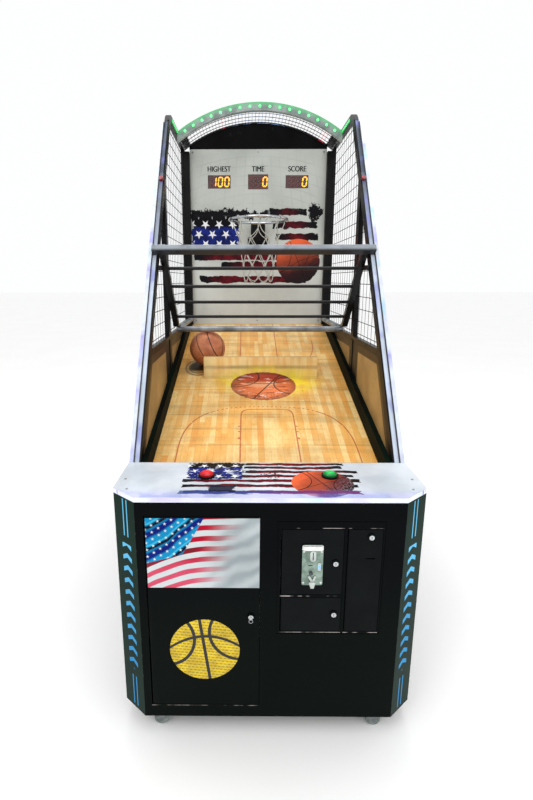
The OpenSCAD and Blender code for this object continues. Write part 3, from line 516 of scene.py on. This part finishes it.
def court_paint():
    paint = Paint("court_wood", Coat_Weight=0.2, Coat_Roughness=0.12)
    x, y = paint.x, paint.y
    tone, grain, joint = planks(paint, 27, 420, "#fcdb94", "#f3ba62", "#e6933c")
    # painted shadow: faint darker bands across the court, as cast by the guard's bars
    tone |= "#96703a", paint.noise(60, 3, stretch=(9, 1, 1), seed=8).ramp(0.42, 0.68) * 0.3
    fold = y.wrap(0.0, 118.0).line(59, 5, 5) * paint.noise(150, 2, seed=3).ramp(0.36, 0.6)
    tone |= "#7d5d30", fold * 0.5

    def superoval(cx, cy, rx, ry, power):
        """Reaches rx on an oval with squared corners."""
        return ((abs(x - cx) / rx) ** power + (abs(y - cy) / ry) ** power) ** (1 / power) * rx

    ink = superoval(13, 457, 384, 380, 2.9).line(384, 6) * y.ramp(456, 458)
    ink |= abs(x - 13).line(384, 6) * y.ramp(458, 456)
    ink *= (1 - y.ramp(795, 800) * x.wrap(0.0, 22.0).band(9, 22, 1))
    key = superoval(22, 700, 125, 114, 6).line(125, 6) * y.ramp(699, 701)
    key |= abs(x - 22).line(125, 6) * y.ramp(701, 699)
    ink |= key | y.line(747, 3.5) * x.band(-41, 83, 1)
    tick = y.line(671, 7) | y.line(629, 7) | y.line(579, 14)
    ink |= tick * abs(abs(x - 22) - 131).ramp(7, 6)
    far = abs(x + 2).line(112, 6) * y.ramp(1262, 1264)
    dashed = superoval(-2, 1262, 112, 60, 3).line(112, 3.5) * y.ramp(1264, 1262)
    far |= dashed * x.wrap(0, 14.0).band(5, 14, 1)
    far |= superoval(5, 1640, 340, 400, 2.6).line(340, 6) * y.ramp(1640, 1638)
    tick = y.line(1330, 9) | y.line(1375, 7) | y.line(1420, 7)
    far |= tick * abs(abs(x + 2) - 118).ramp(7, 6)
    ink |= far
    tone |= "#b8501f", ink * paint.noise(12, 3, seed=6).ramp(0.28, 0.4) * 0.85
    tone = printed_ball(paint, tone, x - 14, (y - 1050) * 1.16)
    # painted shadow under the resting ball, with two faint darker rings round it
    low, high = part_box("basketball")
    rest = (low + high) / 2 / MM
    du, dv = x - (rest.x - 48), y - (rest.y - FRONT - 12)
    shadow_reach = length(du, dv * 0.8)
    tone |= "#1c140d", shadow_reach.ramp(70, 46) * (dv + 36).ramp(-20, 10) * 0.92
    tone |= "#4b3a22", (shadow_reach.line(76, 9, 5) | shadow_reach.line(56, 7, 4)) * 0.75
    paint.skin(tone, 0.3, 240, 2.4, 0.012, scuff=0.2, worn="#8b6a41")
    return paint.bump(grain - joint * 2, 0.05)


def gate_paint():
    paint = Paint("gate_wood", Coat_Weight=0.4, Coat_Roughness=0.15)
    x, z = paint.x, paint.z
    grain = paint.noise(7, 5, stretch=(12, 1, 1), seed=2, rough=0.65)
    tone = paint.clouds("#ffe29c", "#f6c672", 34, 3, stretch=(1, 1, 9), seed=4)
    tone |= "#d9a25a", grain.ramp(0.5, 0.75) * 0.3
    # painted shadow: two dark bands across the gate, as cast by the guard's bars
    bar_shadow = z.band(1132, 1150, 7) | z.band(1086, 1090, 5) * 0.6
    bar_shadow *= paint.noise(120, 3, stretch=(3, 1, 1), seed=2).ramp(0.3, 0.6)
    tone |= "#6b5028", bar_shadow * 0.6
    tone = printed_ball(paint, tone, x - 14, (z - 1080) * 2.5 + 92)
    tone |= "#8f6a36", z.ramp(1196.5, 1198) * 0.5
    paint.skin(tone, 0.4, 140, 1.8, 0.02, scuff=0.25, worn="#77582f")
    return paint.bump(grain, 0.06)


def rubber_paint():
    paint = Paint("ball_rubber")
    low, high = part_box("basketball")
    middle = (low + high) / 2
    radius = (high.x - low.x) / 2 / MM
    shift = (-middle.x / MM, FRONT - middle.y / MM, -middle.z / MM)
    centre = paint.spread(paint.mm, (1, 1, 1), shift)
    turn = paint.new("ShaderNodeVectorRotate", rotation_type="EULER_XYZ")
    turn.inputs["Rotation"].default_value = (0.5, 0.35, 0.5)
    paint.plug(turn.inputs["Vector"], centre)
    a, b, c = paint.split(turn.outputs[0])
    groove = abs(a).low(abs(b))
    groove = groove.low(abs(abs(a) - radius * 0.64 + c * c * (0.16 / radius)))
    seam = groove.ramp(2.6, 1.4)
    pebbles = paint.cells(2.3)
    tone = paint.clouds("#dd8c5e", "#bd6a45", 55, 4, seed=3)
    tone |= "#8a4a30", pebbles.ramp(0.55, 0.75) * 0.5
    tone |= "#e0ab8a", paint.noise(26, 5, seed=5, rough=0.7).ramp(0.6, 0.75) * 0.35
    tone |= "#1b100d", seam
    paint.skin(tone, 0.55, 60, 0.9, 0.02, scuff=0.2, worn="#b98c72")
    paint.bump((1 - pebbles) * (1 - seam), 0.35)
    return paint.bump(1 - groove.ramp(3.4, 0.6), 1.3)


def panel_paint():
    paint = Paint("side_board", gloss=0.25)
    x, y, z = abs(paint.x), paint.y, paint.z
    lining = x.ramp(482.5, 482.2)
    fibres = paint.noise(3, 4, stretch=(1, 5, 1), seed=3, rough=0.7)
    flakes = paint.noise(14, 5, stretch=(1, 3, 1), seed=8, rough=0.8)
    kraft = paint.clouds("#b0905c", "#9a7b4c", 170, 3, seed=2)
    kraft |= "#7d5d38", flakes.ramp(0.56, 0.7) * 0.45
    kraft |= "#d9bb8c", fibres.ramp(0.6, 0.75) * 0.35
    # painted shade: the lining darkens just under the top rail
    kraft |= "#3a2a1c", z.ramp(1252, 1258)
    kraft |= "#33261b", (slant_z(y) - z).ramp(92, 82) * z.ramp(1400, 1290) * 0.9
    kraft |= "#0d0d0c", y.band(935, 1116, 5)
    black = paint.mix("#0d0e10", "#141517", paint.noise(160, 3).ramp(0.4, 0.6))
    # outside: cover caps along the edges, and rubs low down
    caps = length((y - 24).wrap(-116.0, 116.0), (z - 1268).wrap(-232.0, 232.0))
    black |= "#26282b", caps.ramp(7.5, 6.8)
    rubs = paint.noise(60, 6, stretch=(1, 3, 0.3), seed=31, rough=0.75).ramp(0.58, 0.72)
    black |= "#4a4945", rubs * z.ramp(420, 120) * 0.5
    paint.skin(paint.mix(black, kraft, lining), 0.42, 220, 1.6, 0.03, scuff=0.12)
    return paint.bump(fibres * lining, 0.06)


# ---- materials of the backboard and header ----
def board_paint():
    paint = Paint("backboard_print", gloss=0.08)
    x, z = paint.x, paint.z
    shade = paint.noise(260, 3) * 200 + (z - 1900) * 0.4
    ground = paint.mix("#cdd1cc", "#b4b8b2", shade.ramp(-40, 220))
    stripes = [(80, 330, 2056), (100, 400, 1971), (120, 410, 1893), (-437, 210, 1762),
               (-250, 240, 1709), (-400, 330, 1612)]
    art = print_flag(
        paint, x, z, ground, canton=(-446, -134, 1815, 1950, 2062), star_pitch=(92, 64), star_size=31,
        stripes=stripes, thick=44, wave=9, ball=(278, 1732, 149), tear=17, stretch=(3, 1, 1),
        lean=(0.35, 0.95, 0.9), halftone=0.1)
    blob = length(x - 384, (z - 2050) * 0.8) + (paint.noise(34, 5, seed=44, rough=0.7) - 0.5) * 110
    art |= "#111014", blob.ramp(46, 43)
    drops = paint.cells(23) + paint.noise(120, 2, seed=13) * 0.55
    spray = drops.ramp(0.36, 0.33) * z.band(1975, 2110, 20) * abs(x + 20).ramp(430, 400)
    art |= "#1a1a1e", spray * 0.85
    tips = ragged(paint, x, z, (-440, 90, 2024, 2064), 40, 46, 17.0, (1, 1, 1.4))
    art |= "#101014", tips * x.ramp(95, 60)
    # the meshes mirrored in the varnish
    mirrored = (x + (z - 2200) * x * 0.0006).wrap(0.0, 62.0).line(31, 5, 3)
    mirrored |= length(x * 0.8, z - 1560).wrap(0.0, 58.0).line(29, 6, 3)
    mirrored *= z.band(2075, 2400, 30) * paint.noise(190, 3, seed=23).ramp(0.36, 0.62)
    art |= "#8f9592", mirrored * 0.34
    tone = paint.mix("#8f7a5c", art, paint.y.ramp(BOARD_Y - 0.6, BOARD_Y - 0.9))
    return paint.skin(tone, 0.33, 300, 1.8, 0.015, scuff=0.16, worn="#8f8f8a")


def arch_paint():
    paint = Paint("arch_acrylic", Coat_Weight=0.4, Transmission_Weight=0.12, IOR=1.49)
    reach = length(paint.x, paint.z - ARCH_Z)
    body = paint.clouds("#74817e", "#98a3a0", 60, 3)
    body |= "#5d6866", paint.cells(7).ramp(0.3, 0.2) * 0.35
    rim = reach.ramp(790, 817)
    body |= "#46a86c", rim * 0.75
    paint.skin(body, 0.25, 60, 1.0, 0.02, scuff=0.12)
    return paint.glow(paint.mix("#9fb5ac", "#2fd062", rim), rim * 0.2 + 0.01)


def glow_paint(name, core, edge, strength):
    paint = Paint(name, Coat_Weight=0.4)
    tone = paint.clouds(core, edge, 6, 3)
    paint.skin(tone, 0.3, 20, 0.8, 0.02, scuff=0.05)
    return paint.glow(tone, paint.noise(9, 2).ramp(0.2, 0.8, strength * 0.85, strength))


def window_paint():
    paint = Paint("display_window", Coat_Weight=0.8, Coat_Roughness=0.04)
    tone = paint.clouds("#3a0f0d", "#54160f", 60, 3)
    lattice = paint.x.wrap(0.0, 4.0).line(2, 0.5, 0.3) | paint.z.wrap(0.0, 4.0).line(2, 0.5, 0.3)
    tone |= "#1d0706", lattice * 0.5
    return paint.skin(tone, 0.18, 40, 0.8, 0.01, scuff=0.08)


def metal(name, light, dark, rough, size, stretch=(1, 1, 1)):
    """Bare metal. A long stretch brushes it."""
    paint = Paint(name, 1.0)
    lines = paint.noise(1.4, 4, stretch=stretch, seed=3, rough=0.6)
    tone = paint.mix(light, dark, lines.ramp(0.3, 0.7))
    paint.skin(tone, rough, size, 1.0, 0.01, scuff=0.2, worn="#6d6a64")
    return paint.bump(lines, 0.03)


def roof_paint():
    paint = Paint("roof_wire", gloss=0.12)
    x = paint.x
    tone = paint.clouds("#1a1a1c", "#26262a", 40, 3, seed=6.6)
    blue = abs(x - 10).ramp(190, 120) * paint.noise(30, 3, seed=3).ramp(0.42, 0.55)
    tone |= "#6d8fc4", blue * 0.9
    tone |= "#d31f2b", ((x - 405).line(0, 30, 3) | (x + 225).line(0, 12, 3)) * 0.9
    return paint.skin(tone, 0.4, 40, 1.2, 0.03, scuff=0.2)


def frame_paint():
    """Black tube whose slanted front face mirrors the light strip beside it."""
    paint = Paint("frame_powder", gloss=0.12)
    x, y, z = abs(paint.x), paint.y, paint.z
    ahead = (z - slant_z(y)) * cos(SLANT)
    lit = ahead.ramp(18.8, 19.6) * x.ramp(487.5, 490) * z.ramp(2440, 2400)
    height = (z + (paint.noise(150, 3, seed=5) - 0.5) * 500).ramp(1500, 2150)
    glare = paint.mix("#c2cddd", "#59616f", height)
    glare |= "#8489c9", paint.noise(170, 2, seed=8).ramp(0.52, 0.66) * 0.7
    tone = paint.mix(paint.clouds("#0b0b0c", "#131314", 140, 3, seed=6.6), glare, lit)
    return paint.skin(tone, 0.36, 140, 1.2, 0.06, scuff=0.12)


def coin_paint():
    """Cast plate with a pale lip, bright corner screws and a small blue window."""
    paint = Paint("coin_plate", 0.55)
    x, y, z = paint.xyz
    tone = paint.clouds("#8fa397", "#6c7f74", 22, 4, seed=3)
    tone |= "#f0f2ee", z.ramp(746.5, 747.5) * y.ramp(-3.2, -3.8)
    u, v = abs(x - 140.5), abs(z - 683)
    screw = length(u - 29, v - 57).ramp(3.4, 2.9)
    tone |= "#e9ecea", screw
    tone |= "#1a1d1b", screw * (u - v + 28).line(0, 0.9, 0.2)
    tone |= "#1a1f1c", z.band(688, 692, 0.4) * x.band(127, 141, 0.4) * 0.9
    tone |= "#eef0ee", y.ramp(-4.3, -6.5) * 0.55
    glow = length((x - 163) * 1.5, (z - 686) * 0.8).ramp(8, 2) * y.ramp(-5, -5.6)
    tone |= "#54b6ff", glow
    paint.skin(tone, 0.32, 30, 1.1, 0.04, scuff=0.2)
    return paint.glow("#3c8cff", glow * 1.4)


def guard_paint():
    paint = Paint("guard_enamel", 0.3, gloss=0.35)
    # painted light and shade: the bars are darkest below 1690 mm, lighter above 1700 mm, and the top
    # bar's lit front above 1738 mm is light grey
    tone = paint.mix("#17191c", "#303439", paint.z.ramp(1690, 1700))
    tone |= "#858b92", paint.z.ramp(1738, 1752)
    tone |= "#141518", paint.noise(80, 3).ramp(0.5, 0.7) * 0.4
    return paint.skin(tone, 0.3, 90, 1.0, 0.02, scuff=0.2)


def dome_paint(name, bright, deep):
    paint = Paint(name, Coat_Weight=0.25, Coat_Roughness=0.03, gloss=0.2,
                  Subsurface_Weight=0.15)
    reach = length(abs(paint.x) - 218, paint.y - 165)
    tone = paint.mix(bright, deep, reach.ramp(8, 24))
    tone |= deep, paint.cells(3.2).ramp(0.5, 0.2) * 0.35
    paint.skin(tone, 0.16, 20, 0.8, 0.01, scuff=0.06)
    paint.bump(abs(reach.wrap(0.0, 2.4) - 1.2) * reach.ramp(22, 20), 0.25)
    return paint.glow(tone, reach.ramp(4, 26, 0.28, 0.05))


def cord_paint():
    paint = Paint("net_cord", Sheen_Weight=0.3)
    twist = (paint.x + paint.z * 1.4 + paint.y).wrap(0.0, 3.2).fold(1.6)
    tone = paint.mix("#a9a99f", "#cfcfc6", twist.ramp(0.2, 1.2))
    paint.skin(tone, 0.8, 60, 0.6, 0.05, scuff=0.3, worn="#8f8d82")
    return paint.bump(twist, 0.5)


def steel_door_paint():
    paint = Paint("door_steel", gloss=0.06)
    tone = add_glints(paint, paint.clouds("#080a0d", "#0b0f10", 80, 3))
    paint.skin(tone, 0.34, 110, 0.9, 0.05, scuff=0.08)
    return paint.bump(paint.cells(1.6), 0.04)


FINISHES = {
    "front_cabinet": cabinet_paint(), "deck": deck_paint(), "light_strips": diffuser_paint(),
    "panel_screws": metal("screw_steel", "#b9bbbd", "#7d8083", 0.3, 8),
    "button_bezels": plain("bezel_plastic", "#0c0d0e", "#151617", 0.3, 24, depth=0.04, gloss=0.12),
    "red_button": dome_paint("dome_red", "#f01822", "#a80814"),
    "green_button": dome_paint("dome_green", "#12c455", "#077030"),
    "service_door": service_paint(), "speaker_grille": disc_paint(),
    "speaker": plain("speaker_cone", "#1a1a1b", "#262627", 0.7, 30, grain=2.2, depth=0.1, gloss=0.12),
    "coin_door,cash_door,utility_door": steel_door_paint(),
    "coin_acceptor": coin_paint(),
    "coin_return_button": plain("return_grey", "#43474b", "#2c2f32", 0.35, 10),
    "cash_box": metal("zinc_box", "#a8abae", "#85888b", 0.4, 50),
    "service_lock,coin_lock,cash_lock,utility_lock":
        metal("lock_chrome", "#e3e5e7", "#a2a5a8", 0.16, 10),
    "court": court_paint(), "ball_gate": gate_paint(), "basketball": rubber_paint(),
    "court_skirts": plain("skirt_black", "#070a08", "#0a1811", 0.6, 200, gloss=0.03),
    "gate_rack": plain("rack_nylon", "#dcdcd4", "#c2c2b8", 0.45, 20),
    "gate_pinion": metal("gear_brass", "#d3a94c", "#9c7628", 0.28, 20),
    "gate_motor": plain("motor_steel", "#787c80", "#5f6366", 0.4, 30, 0.8),
    "gate_guides": plain("guide_steel", "#66696d", "#4b4e51", 0.4, 50, 0.8),
    "side_panels": panel_paint(),
    "base_frame": plain("base_paint", "#2d2f32", "#1f2123", 0.5, 120, grain=2.5, depth=0.1),
    "net_frames_front,net_frames_rear": frame_paint(),
    "side_meshes": plain("wire_black", "#141416", "#202022", 0.4, 40, gloss=0.12),
    "roof_mesh": roof_paint(),
    "section_knobs": plain("knob_red", "#a01426", "#5e0c16", 0.3, 12),
    "guard_cage": guard_paint(),
    "guard_lower_pipe": plain("pipe_grey", "#a3a8ad", "#6f757b", 0.34, 110, 0.6),
    "backboard": board_paint(), "score_displays": window_paint(),
    "hoop_ring": metal("ring_chrome", "#dcdee0", "#8b8e92", 0.14, 40),
    "hoop_bracket": plain("bracket_black", "#0f1011", "#191a1c", 0.4, 60, depth=0.05, gloss=0.12),
    "hoop_net": cord_paint(),
    "score_sensor": plain("sensor_black", "#17181a", "#222427", 0.4, 20, gloss=0.12),
    "header_panel": plain("header_black", "#060607", "#0c0c0e", 0.6, 160, gloss=0.05),
    "light_arch": arch_paint(),
    "rear_cover": plain("cover_black", "#0e0e10", "#161618", 0.48, 240, 0, 1.8, 0.05, 0.12),
    "power_inlet": plain("inlet_black", "#141414", "#1e1e1e", 0.4, 20),
    "power_rocker": plain("rocker_red", "#b3201f", "#8a1414", 0.3, 12),
    "power_supply": metal("supply_steel", "#bfc2c4", "#94979a", 0.35, 60, (14, 1, 1)),
    "control_board": plain("board_green", "#1f5c36", "#164527", 0.4, 30),
    "caster_plates": metal("zinc_plate", "#c4c7ca", "#989b9e", 0.35, 30),
    "caster_fork_front_left,caster_fork_front_right,caster_fork_rear_left,caster_fork_rear_right":
        metal("fork_zinc", "#9a9ea1", "#6b6f72", 0.3, 14),
    "caster_wheel_front_left,caster_wheel_front_right,caster_wheel_rear_left,caster_wheel_rear_right":
        plain("wheel_clear", "#8d9995", "#66716d", 0.3, 14, Transmission_Weight=0.15, Coat_Weight=0.2),
    "levelling_feet": metal("foot_zinc", "#a2a5a8", "#7a7d80", 0.4, 20),
}
NO_BEVEL = {"gate_pinion", "gate_rack", "side_meshes", "roof_mesh", "hoop_net", "basketball",
            "hoop_ring"}
PAINTS = {}
for names, paint in FINISHES.items():
    for name in names.split(","):
        PAINTS[name] = paint.mat
        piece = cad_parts[name]
        if not piece.material_slots:
            piece.data.materials.append(paint.mat)
        for slot in piece.material_slots:
            slot.material = paint.mat
        weld = piece.modifiers.new("weld", "WELD")
        weld.merge_threshold = 0.00002
        if name not in NO_BEVEL:
            bevel = piece.modifiers.new("edge", "BEVEL")
            bevel.width, bevel.segments, bevel.limit_method = 0.0007, 2, "ANGLE"
            bevel.angle_limit = radians(38)
        piece.modifiers.new("shade", "WEIGHTED_NORMAL").weight = 90


# ---- new pieces ----
def piece_from(name, build, mat, body, replaced=()):
    """A new mesh made by build, riding on a body, in place of the CAD nodes in replaced."""
    mesh = bpy.data.meshes.new(name)
    shape = bmesh.new()
    build(shape)
    for face in shape.faces:
        face.smooth = True
    shape.to_mesh(mesh)
    shape.free()
    mesh.materials.append(mat)
    piece = bpy.data.objects.new(name, mesh)
    scene.collection.objects.link(piece)
    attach(piece, body)
    if replaced:
        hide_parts(*replaced)


def tube(shape, path, radius, sides=8, closed=False):
    """Sweeps a round section along points in metres. radius may be one number or one for each point."""
    count = len(path)
    radii = [radius] * count if isinstance(radius, (int, float)) else radius
    rings, across = [], None
    for i, point in enumerate(path):
        if closed:
            along = path[(i + 1) % count] - path[i - 1]
        else:
            along = path[min(i + 1, count - 1)] - path[max(i - 1, 0)]
        along.normalize()
        if across is None:
            across = along.orthogonal().normalized()
        across = (across - along * across.dot(along)).normalized()
        other = along.cross(across)
        rings.append([shape.verts.new(point + (across * cos(a) + other * sin(a)) * radii[i] * MM)
                      for a in round_turn(sides)])
    pairs = list(zip(rings, rings[1:])) + ([(rings[-1], rings[0])] if closed else [])
    for a, b in pairs:
        shift = 0
        if closed and a is rings[-1]:
            shift = min(range(sides), key=lambda k: (b[k].co - a[0].co).length)
        for k in range(sides):
            shape.faces.new((a[k], a[(k + 1) % sides],
                             b[(k + 1 + shift) % sides], b[(k + shift) % sides]))
    if not closed:
        shape.faces.new(rings[0][::-1])
        shape.faces.new(rings[-1])


def steps(a, b, pitch):
    return [a + pitch * i for i in range(int((b - a) / pitch + 1e-6) + 1)]


def side_wires(shape):
    """The meshes of the front and rear side sections: thin upright wires, thicker level ones."""
    half_post = 20 / sin(SLANT) + 0.5
    pitch, front_end = 62, JOINT_Y - 27
    sections = ((slant_y(MESH_FOOT_Z) + 26, front_end, slant_z(front_end)), (JOINT_Y + 27, 1890, 2433))
    for y0, y1, crest in sections:
        for side in (-1, 1):
            for y in steps(y0 + 20, y1 - 10, pitch):
                end = min(crest, slant_z(y - 1.5 - half_post)) - 1
                tube(shape, [at(side * 492.8, y, MESH_FOOT_Z), at(side * 492.8, y, end)], 0.95, 6)
            for z in steps(MESH_FOOT_Z + 20, crest - 10, pitch):
                left = max(y0, slant_y(z + 1.5) + half_post)
                if left < y1 - 66:
                    tube(shape, [at(side * 495.2, left, z), at(side * 495.2, y1, z)], 1.8, 6)


def roof_wires(shape):
    """Six bows across the roof, and straight wires from front to back under them."""
    y0, y1 = 1605.2, BOARD_Y - 1.2
    span = asin(481 / ROOF_RADIUS)
    for i in range(6):
        y = y0 + 4 + i * (y1 - y0 - 8) / 5
        arc = [at(ROOF_RADIUS * sin(a), y, ARCH_Z + ROOF_RADIUS * cos(a))
               for a in (span * (k / 24 - 1) for k in range(49))]
        tube(shape, arc, 1.9, 6)
    ends = [sign * a for sign in (-1, 1) for a in steps(33.2, 36.2, 0.15)]
    for degrees in steps(-33, 33, 1.5) + ends:
        a = radians(degrees)
        x, z = (ROOF_RADIUS - 2) * sin(a), ARCH_Z + (ROOF_RADIUS - 2) * cos(a)
        tube(shape, [at(x, y0, z), at(x, y1, z)], 1.1, 6)


def net_cords(shape):
    """Hooks round the ring, knotted cords that taper down, and open loops at the end."""
    loops = 8
    # height and radius of each row of knots
    rows = [(1960, 162.7273), (1868, 129.9701), (1780, 111.9853), (1698, 102.3548), (1632, 91.6154)]

    def knot(row, column):
        angle = 2 * pi * (column + (row % 2) * 0.5) / loops
        wobble = 2.5 * sin(column * 2.4 + row * 1.9)
        z, radius = rows[row]
        return radius + wobble * 0.4, angle + 0.01 * sin(column * 3.1 + row), z + wobble

    def place(radius, angle, z):
        return at(radius * sin(angle), HOOP_Y + radius * cos(angle), z)

    def strand(a, b, power):
        path = []
        for t in (k / 8 for k in range(9)):
            sag = sin(pi * t)
            path.append(place(a[0] + (b[0] - a[0]) * t - sag * 1.5, a[1] + (b[1] - a[1]) * t ** power,
                              a[2] + (b[2] - a[2]) * t - sag * 3.5))
        tube(shape, path, 2.5)

    for column in range(loops):
        turn = knot(0, column)[1]
        hook = [place(176 + 10.6 * cos(t), turn + 0.012 * sin(t), 1975 + 10.6 * sin(t))
                for t in round_turn(16)]
        tube(shape, hook, 2.7, closed=True)
        for row in range(len(rows) - 1):
            here = knot(row, column)
            for shift in ((0, -1) if row % 2 == 0 else (0, 1)):
                strand(here, knot(row + 1, column + shift), 2.6 if row == 0 else 1.0)
        for row in range(1, len(rows)):
            radius, angle, z = knot(row, column)
            path = [place(radius + out, angle, z + up)
                    for out, up in ((0, 7), (1, 3.5), (1, -3.5), (0, -7))]
            tube(shape, path, [3.0, 5.2, 5.2, 3.0])
    # open loops that hang from the last knots
    last = len(rows) - 1
    for column in range(loops):
        (r0, a0, z0), (r1, a1, z1) = knot(last, column), knot(last, column + 1)
        a1 += 2 * pi if a1 < a0 else 0
        drop = 34 + 6 * sin(column * 2.9)
        loop = [place(r0 + (r1 - r0) * t - 6 * sin(pi * t), a0 + (a1 - a0) * t,
                      z0 + (z1 - z0) * t - drop * sin(pi * t) ** 0.6)
                for t in (k / 12 for k in range(13))]
        tube(shape, loop, 2.4)


def domes(shape, points, radius, height, rings=5, sides=20):
    """Low domes that face the player."""
    for middle in points:
        last = None
        for i in range(rings):
            a = pi / 2 * i / rings
            out, lift = radius * cos(a), -height * sin(a)
            ring = [shape.verts.new(middle + Vector((out * cos(b), lift, out * sin(b))) * MM)
                    for b in round_turn(sides)]
            if last:
                for k in range(sides):
                    shape.faces.new((last[k], last[(k + 1) % sides], ring[(k + 1) % sides], ring[k]))
            else:
                shape.faces.new(ring[::-1])
            last = ring
        tip = shape.verts.new(middle + Vector((0, -height * MM, 0)))
        for k in range(sides):
            shape.faces.new((last[k], last[(k + 1) % sides], tip))


def prism(shape, front, back):
    """Closes two equal outlines into a solid."""
    shape.faces.new(front)
    shape.faces.new(back[::-1])
    for k in range(len(front)):
        j = (k + 1) % len(front)
        shape.faces.new((front[k], front[j], back[j], back[k]))


SEGMENTS = {"a": ((0, 1), (1, 1)), "b": ((1, 0.5), (1, 1)), "c": ((1, 0), (1, 0.5)),
            "d": ((0, 0), (1, 0)), "e": ((0, 0), (0, 0.5)), "f": ((0, 0.5), (0, 1)),
            "g": ((0, 0.5), (1, 0.5))}
LIT = {"0": "abcdef", "1": "bc", " ": ""}


def digits(shape, wanted):
    """The lit bars of the seven-segment figures if wanted, else the dark ones."""
    wide, tall, thick, gap, lean = 26, 56, 4.0, 1.2, 0.09
    for centre, text, spacing in zip(WINDOWS, ("100", "  0", "  0"), (43, 38, 43)):
        for place, letter in enumerate(text):
            x0 = centre + (place - 1) * spacing - 5
            for key, ends in SEGMENTS.items():
                if (key in LIT[letter]) != wanted:
                    continue
                pa, pb = (Vector((x0 + u * wide, (v - 0.5) * tall)) for u, v in ends)
                along = (pb - pa).normalized()
                over = Vector((-along.y, along.x)) * thick
                tip, neck = along * gap, along * (gap + thick)
                outline = [pa + tip, pa + neck + over, pb - neck + over, pb - tip, pb - neck - over,
                           pa + neck - over]
                prism(shape, *(
                    [shape.verts.new(at(p.x + p.y * lean, y, WINDOW_Z + p.y)) for p in outline]
                    for y in (BOARD_Y - 0.65, BOARD_Y + 0.05)))
    bmesh.ops.recalc_face_normals(shape, faces=shape.faces)


def key_parts(shape):
    """A key's head standing out of the service lock, with a small ring through it."""
    lx, lz = -62, 492  # the lock's axis
    head = [(-5.5, -4.2), (-6.5, -6), (-9.5, -8), (-13.2, -6.5), (-13.9, 0), (-13.2, 6.5), (-9.5, 8),
            (-6.5, 6), (-5.5, 4.2)]
    prism(shape, *([shape.verts.new(at(lx + x, y, lz + z)) for y, z in head] for x in (-1.1, 1.1)))
    ring = [at(lx + 6.5 * sin(t), -11.4, lz - 11 + 6.5 * cos(t)) for t in round_turn(28)]
    tube(shape, ring, 0.8, closed=True)
    bmesh.ops.recalc_face_normals(shape, faces=shape.faces)


def word(shape, centre, text):
    """Bold capitals lying on the backboard, over a window."""
    curve = bpy.data.curves.new("letters", "FONT")
    curve.body, curve.align_x, curve.align_y = text, "CENTER", "CENTER"
    curve.size, curve.extrude = 0.046, 0.0001
    holder = bpy.data.objects.new("letters", curve)
    flat = bpy.data.meshes.new_from_object(holder)
    bpy.data.objects.remove(holder)
    for push in (-0.0013, 0.0, 0.0013):  # metres: three copies side by side make it bold
        copy = flat.copy()
        place = at(centre, BOARD_Y - 1.15, WINDOW_Z + 78) + Vector((push, 0, 0))
        copy.transform(Matrix.Translation(place) @ Matrix.Rotation(pi / 2, 4, "X") @
                       Matrix.Diagonal((0.84, 1.04, 1, 1)))
        shape.from_mesh(copy)
        bpy.data.meshes.remove(copy)
    bpy.data.meshes.remove(flat)
    bpy.data.curves.remove(curve)


for name, build, slot, node in (
        ("side_wires", side_wires, "mesh_wire", "side_meshes"),
        ("roof_wires", roof_wires, "roof_wire", "roof_mesh"),
        ("net_cords", net_cords, "net_cord", "hoop_net")):
    piece_from(name, build, PAINTS[node], "frame", (node,))
lights = [at(795 * sin(a), 1574.9, ARCH_Z + 795 * cos(a))
          for a in (radians(-33.2 + 66.4 * k / 16) for k in range(17))]
for name, build, slot, glow in (
        ("arch_lights", lambda s: domes(s, lights, 8, 4), "diffuser",
         ("led_green", "#7dffa2", "#2ee06a", 1.1)),
        ("digits_lit", lambda s: digits(s, True), "display_red",
         ("digit_lit", "#ffcf2e", "#ff7a22", 1.6)),
        ("digits_dark", lambda s: digits(s, False), "display_red",
         ("digit_dark", "#45120e", "#501510", 0.02))):
    piece_from(name, build, glow_paint(*glow).mat, "frame")
piece_from("service_key", key_parts, PAINTS["service_lock"], "service_lock")
for centre, text in zip(WINDOWS, ("HIGHEST", "TIME", "SCORE")):
    piece_from("word_" + text.lower(), lambda s: word(s, centre, text), PAINTS["header_panel"],
               "frame")


# ---- studio ----
ground = Paint("studio_floor")
ground.set(Base_Color=ground.mix("#fbfbfa", "#f9f9f8", ground.noise(900, 2).ramp(0.3, 0.7)),
           Roughness=ground.noise(200, 2) * 0.05 + 0.9)
floor_mesh = bpy.data.meshes.new("floor")
reach = 70  # metres, so that the floor's edge fades into the background
floor_mesh.from_pydata([(x * reach, y * reach, 0) for x, y in ((-1, -1), (1, -1), (1, 1), (-1, 1))],
                       [], [(0, 1, 2, 3)])
floor_mesh.materials.append(ground.mat)
floor = bpy.data.objects.new("floor", floor_mesh)
scene.collection.objects.link(floor)

world = bpy.data.worlds.new("studio")
world.use_nodes = True
sky = world.node_tree.nodes["Background"].inputs
sky[0].default_value, sky[1].default_value = (0.99, 0.995, 1.0, 1), 1.0
scene.world = world


def area(name, place, aim, size, power):
    """A soft square light. Places and size are metres."""
    data = bpy.data.lights.new(name, "AREA")
    data.shape, data.size, data.energy = "SQUARE", size, power
    lamp = bpy.data.objects.new(name, data)
    lamp.location = place
    lamp.rotation_euler = (Vector(aim) - Vector(place)).to_track_quat("-Z", "Y").to_euler()
    scene.collection.objects.link(lamp)


area("key", (-2.6, -3.6, 4.2), (0, -0.3, 1.0), 2.6, 60)
area("fill", (3.2, -3.0, 2.6), (0, 0, 1.1), 2.8, 30)
area("overhead", (0, 0.2, 4.8), (0, 0.2, 0), 2.6, 70)
scene.view_settings.view_transform = "Standard"
